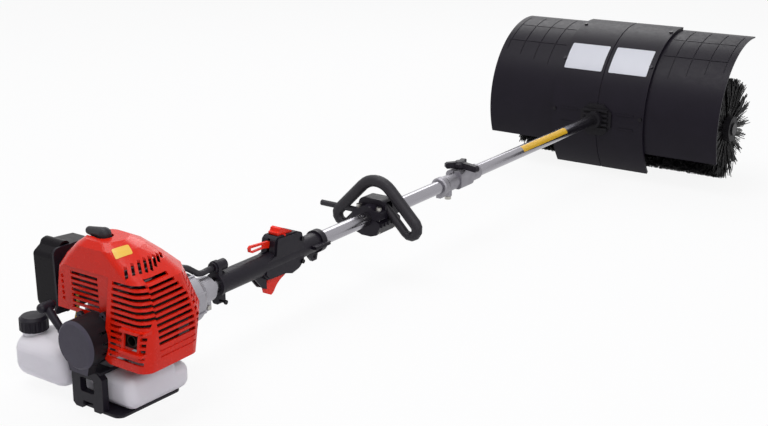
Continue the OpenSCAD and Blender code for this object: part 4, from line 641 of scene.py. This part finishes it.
tube_radius = 0.013 + film_thick
tube_from, tube_to = math.radians(100), math.radians(170)
tube_label_start, tube_label_end = Vector((1.226, 0, 0)), Vector((1.432, 0, 0))
start = Vector((0, tube_radius * math.cos(tube_from), tube_radius * math.sin(tube_from)))
spun_sticker("tube_label", yellow_film, start + tube_label_start, start + tube_label_end, (1, 0, 0),
             tube_to - tube_from, shaft)

# %% [markdown]
# The cover's sticker lies on a double curve. A Shrinkwrap modifier moves each point of a flat grid,
# held just over the cover, to the nearest place on it. The result is kept as plain mesh,
# so it no longer depends on the cover.

# %% Sticker on the engine cover
cover = frame["nodes"]["engine_shroud"]
sticker_middle = Vector((38, -34.7, 125.2)) / 1000
sticker_sides = (Vector((24.6, -8.1, 3.0)) / 1000, Vector((-5.8, -14.5, -9.3)) / 1000)
outward = sticker_sides[1].cross(sticker_sides[0]).normalized()
lift = 0.0015
sticker_corner = 0.002
skew = Matrix((*sticker_sides, outward)).transposed().to_4x4()
shape = bmesh.new()
bmesh.ops.create_grid(shape, x_segments=10, y_segments=8, size=0.5,
                      matrix=shaft @ Matrix.Translation(sticker_middle + lift * outward) @ skew)
mesh = bpy.data.meshes.new("sticker_draft")
shape.to_mesh(mesh)
shape.free()
draft = bpy.data.objects.new("sticker_draft", mesh)
bpy.context.scene.collection.objects.link(draft)
wrap = draft.modifiers.new("lie_on_cover", "SHRINKWRAP")
wrap.target = cover
wrap.wrap_method = "NEAREST_SURFACEPOINT"
wrap.wrap_mode = "ABOVE_SURFACE"
wrap.offset = 2 * film_thick
shape = bmesh.new()
shape.from_object(draft, bpy.context.evaluated_depsgraph_get())
bpy.data.objects.remove(draft)
thicken(shape, sticker_corner)
keep_piece(shape, "cover_sticker", yellow_film, "frame")

# %% [markdown]
# ## Floor, background and light
# The photograph shows the machine alone on white. Lamps that made the floor that bright would bleach
# the machine as well. The Light Path node tells what is seen, by the camera or in a reflection,
# from what lights the machine, so only what is seen gets plain white. The floor is mostly that white too,
# so that it meets the white of the world with hardly a line, and the rest of it is pale paper
# that carries the soft shadow.

# %% White for what is seen
def seen_white(tree):
    """1 for rays from the camera, in reflections and through glass, and 0 for those that gather light."""
    rays = add_node(tree, "ShaderNodeLightPath")
    mirrored = add_node(tree, "ShaderNodeMath", {
        0: rays.outputs["Is Camera Ray"], 1: rays.outputs["Is Glossy Ray"]}, operation="MAXIMUM")
    seen = add_node(tree, "ShaderNodeMath", {
        0: mirrored.outputs["Value"], 1: rays.outputs["Is Transmission Ray"]}, operation="MAXIMUM")
    return seen.outputs["Value"]


# %% Floor
floor_half = 15
floor_glow = 0.9
floor_shape = bmesh.new()
bmesh.ops.create_grid(floor_shape, x_segments=1, y_segments=1, size=floor_half,
                      matrix=Matrix.Translation((1, 0, cad_low.z)))
floor_mesh = bpy.data.meshes.new("floor")
floor_shape.to_mesh(floor_mesh)
floor_shape.free()
floor = bpy.data.objects.new("floor", floor_mesh)
bpy.context.scene.collection.objects.link(floor)

# Matt backdrop paper: pale, with no gloss to speak of.
paper, tree, matt = start_material("white_backdrop_paper", {
    "Base Color": linear("#dcdce0"), "Roughness": 0.9})
share = add_node(tree, "ShaderNodeMath", {0: seen_white(tree), 1: floor_glow}, operation="MULTIPLY")
white = add_node(tree, "ShaderNodeEmission", {"Color": (1, 1, 1, 1), "Strength": 1.0})
lit = add_node(tree, "ShaderNodeMixShader", {0: share.outputs["Value"], 1: matt.outputs["BSDF"],
                                             2: white.outputs["Emission"]})
tree.links.new(lit.outputs["Shader"], tree.nodes["Material Output"].inputs["Surface"])
floor_mesh.materials.append(paper)
print("floor at height", round(cad_low.z, 4))

# %% [markdown]
# An even world would light every side alike and flatten the forms. So its light comes from a broad screen
# behind and above the machine, and little of it from behind the camera.

# %% World
world = bpy.data.worlds.new("white_studio")
world.use_nodes = True
bpy.context.scene.world = world
tree = world.node_tree
direction = add_node(tree, "ShaderNodeTexCoord").outputs["Generated"]
screen_rise = 0.75
screen_edge, screen_full = 0.3, 0.9  # cosines from the screen's middle: where it begins, where it is full
dark_room, lit_screen = 0.08, 1.0
far_and_up = Vector((looking.x, looking.y, screen_rise)).normalized()
facing = add_node(tree, "ShaderNodeVectorMath", {0: direction, 1: far_and_up}, operation="DOT_PRODUCT")
screen = add_node(tree, "ShaderNodeMapRange", {
    "Value": facing.outputs["Value"], "From Min": screen_edge, "From Max": screen_full,
    "To Min": dark_room, "To Max": lit_screen})
room = tree.nodes["Background"]
room.inputs["Color"].default_value = (1, 1, 1, 1)
tree.links.new(screen.outputs["Result"], room.inputs["Strength"])
backdrop = add_node(tree, "ShaderNodeBackground", {"Color": (1, 1, 1, 1), "Strength": 1.0})
mixed = add_node(tree, "ShaderNodeMixShader", {0: seen_white(tree), 1: room.outputs["Background"],
                                               2: backdrop.outputs["Background"]})
tree.links.new(mixed.outputs["Shader"], tree.nodes["World Output"].inputs["Surface"])
print("screen lies towards", [round(n, 3) for n in far_and_up])

# %% [markdown]
# Three lamps shape the machine: one high over it, a little to the left, one behind the camera,
# to the right, for the sides that face us, and one beyond the brush, which draws the bright line
# along the tube.
# They are broad squares, because small lamps would give hard shadows.

# %% Lamps
def soft_lamp(name, place, target, width, watts):
    """A square lamp that faces a point."""
    data = bpy.data.lights.new(name, "AREA")
    data.shape = "SQUARE"
    data.size = width
    data.energy = watts
    lamp = bpy.data.objects.new(name, data)
    lamp.location = place
    lamp.rotation_euler = (Vector(target) - Vector(place)).to_track_quat("-Z", "Y").to_euler()
    bpy.context.scene.collection.objects.link(lamp)


middle = (cad_low + cad_high) / 2
soft_lamp("key_lamp", (-0.2, 0.8, 4.2), middle, 2.6, 95)
soft_lamp("front_lamp", (-1.6, -3.2, 2.6), middle, 2.4, 80)
soft_lamp("far_lamp", (3.4, 1.4, 2.4), middle, 1.6, 24)
bpy.context.scene.view_settings.view_transform = "Standard"
print("lamps face", [round(n, 3) for n in middle])
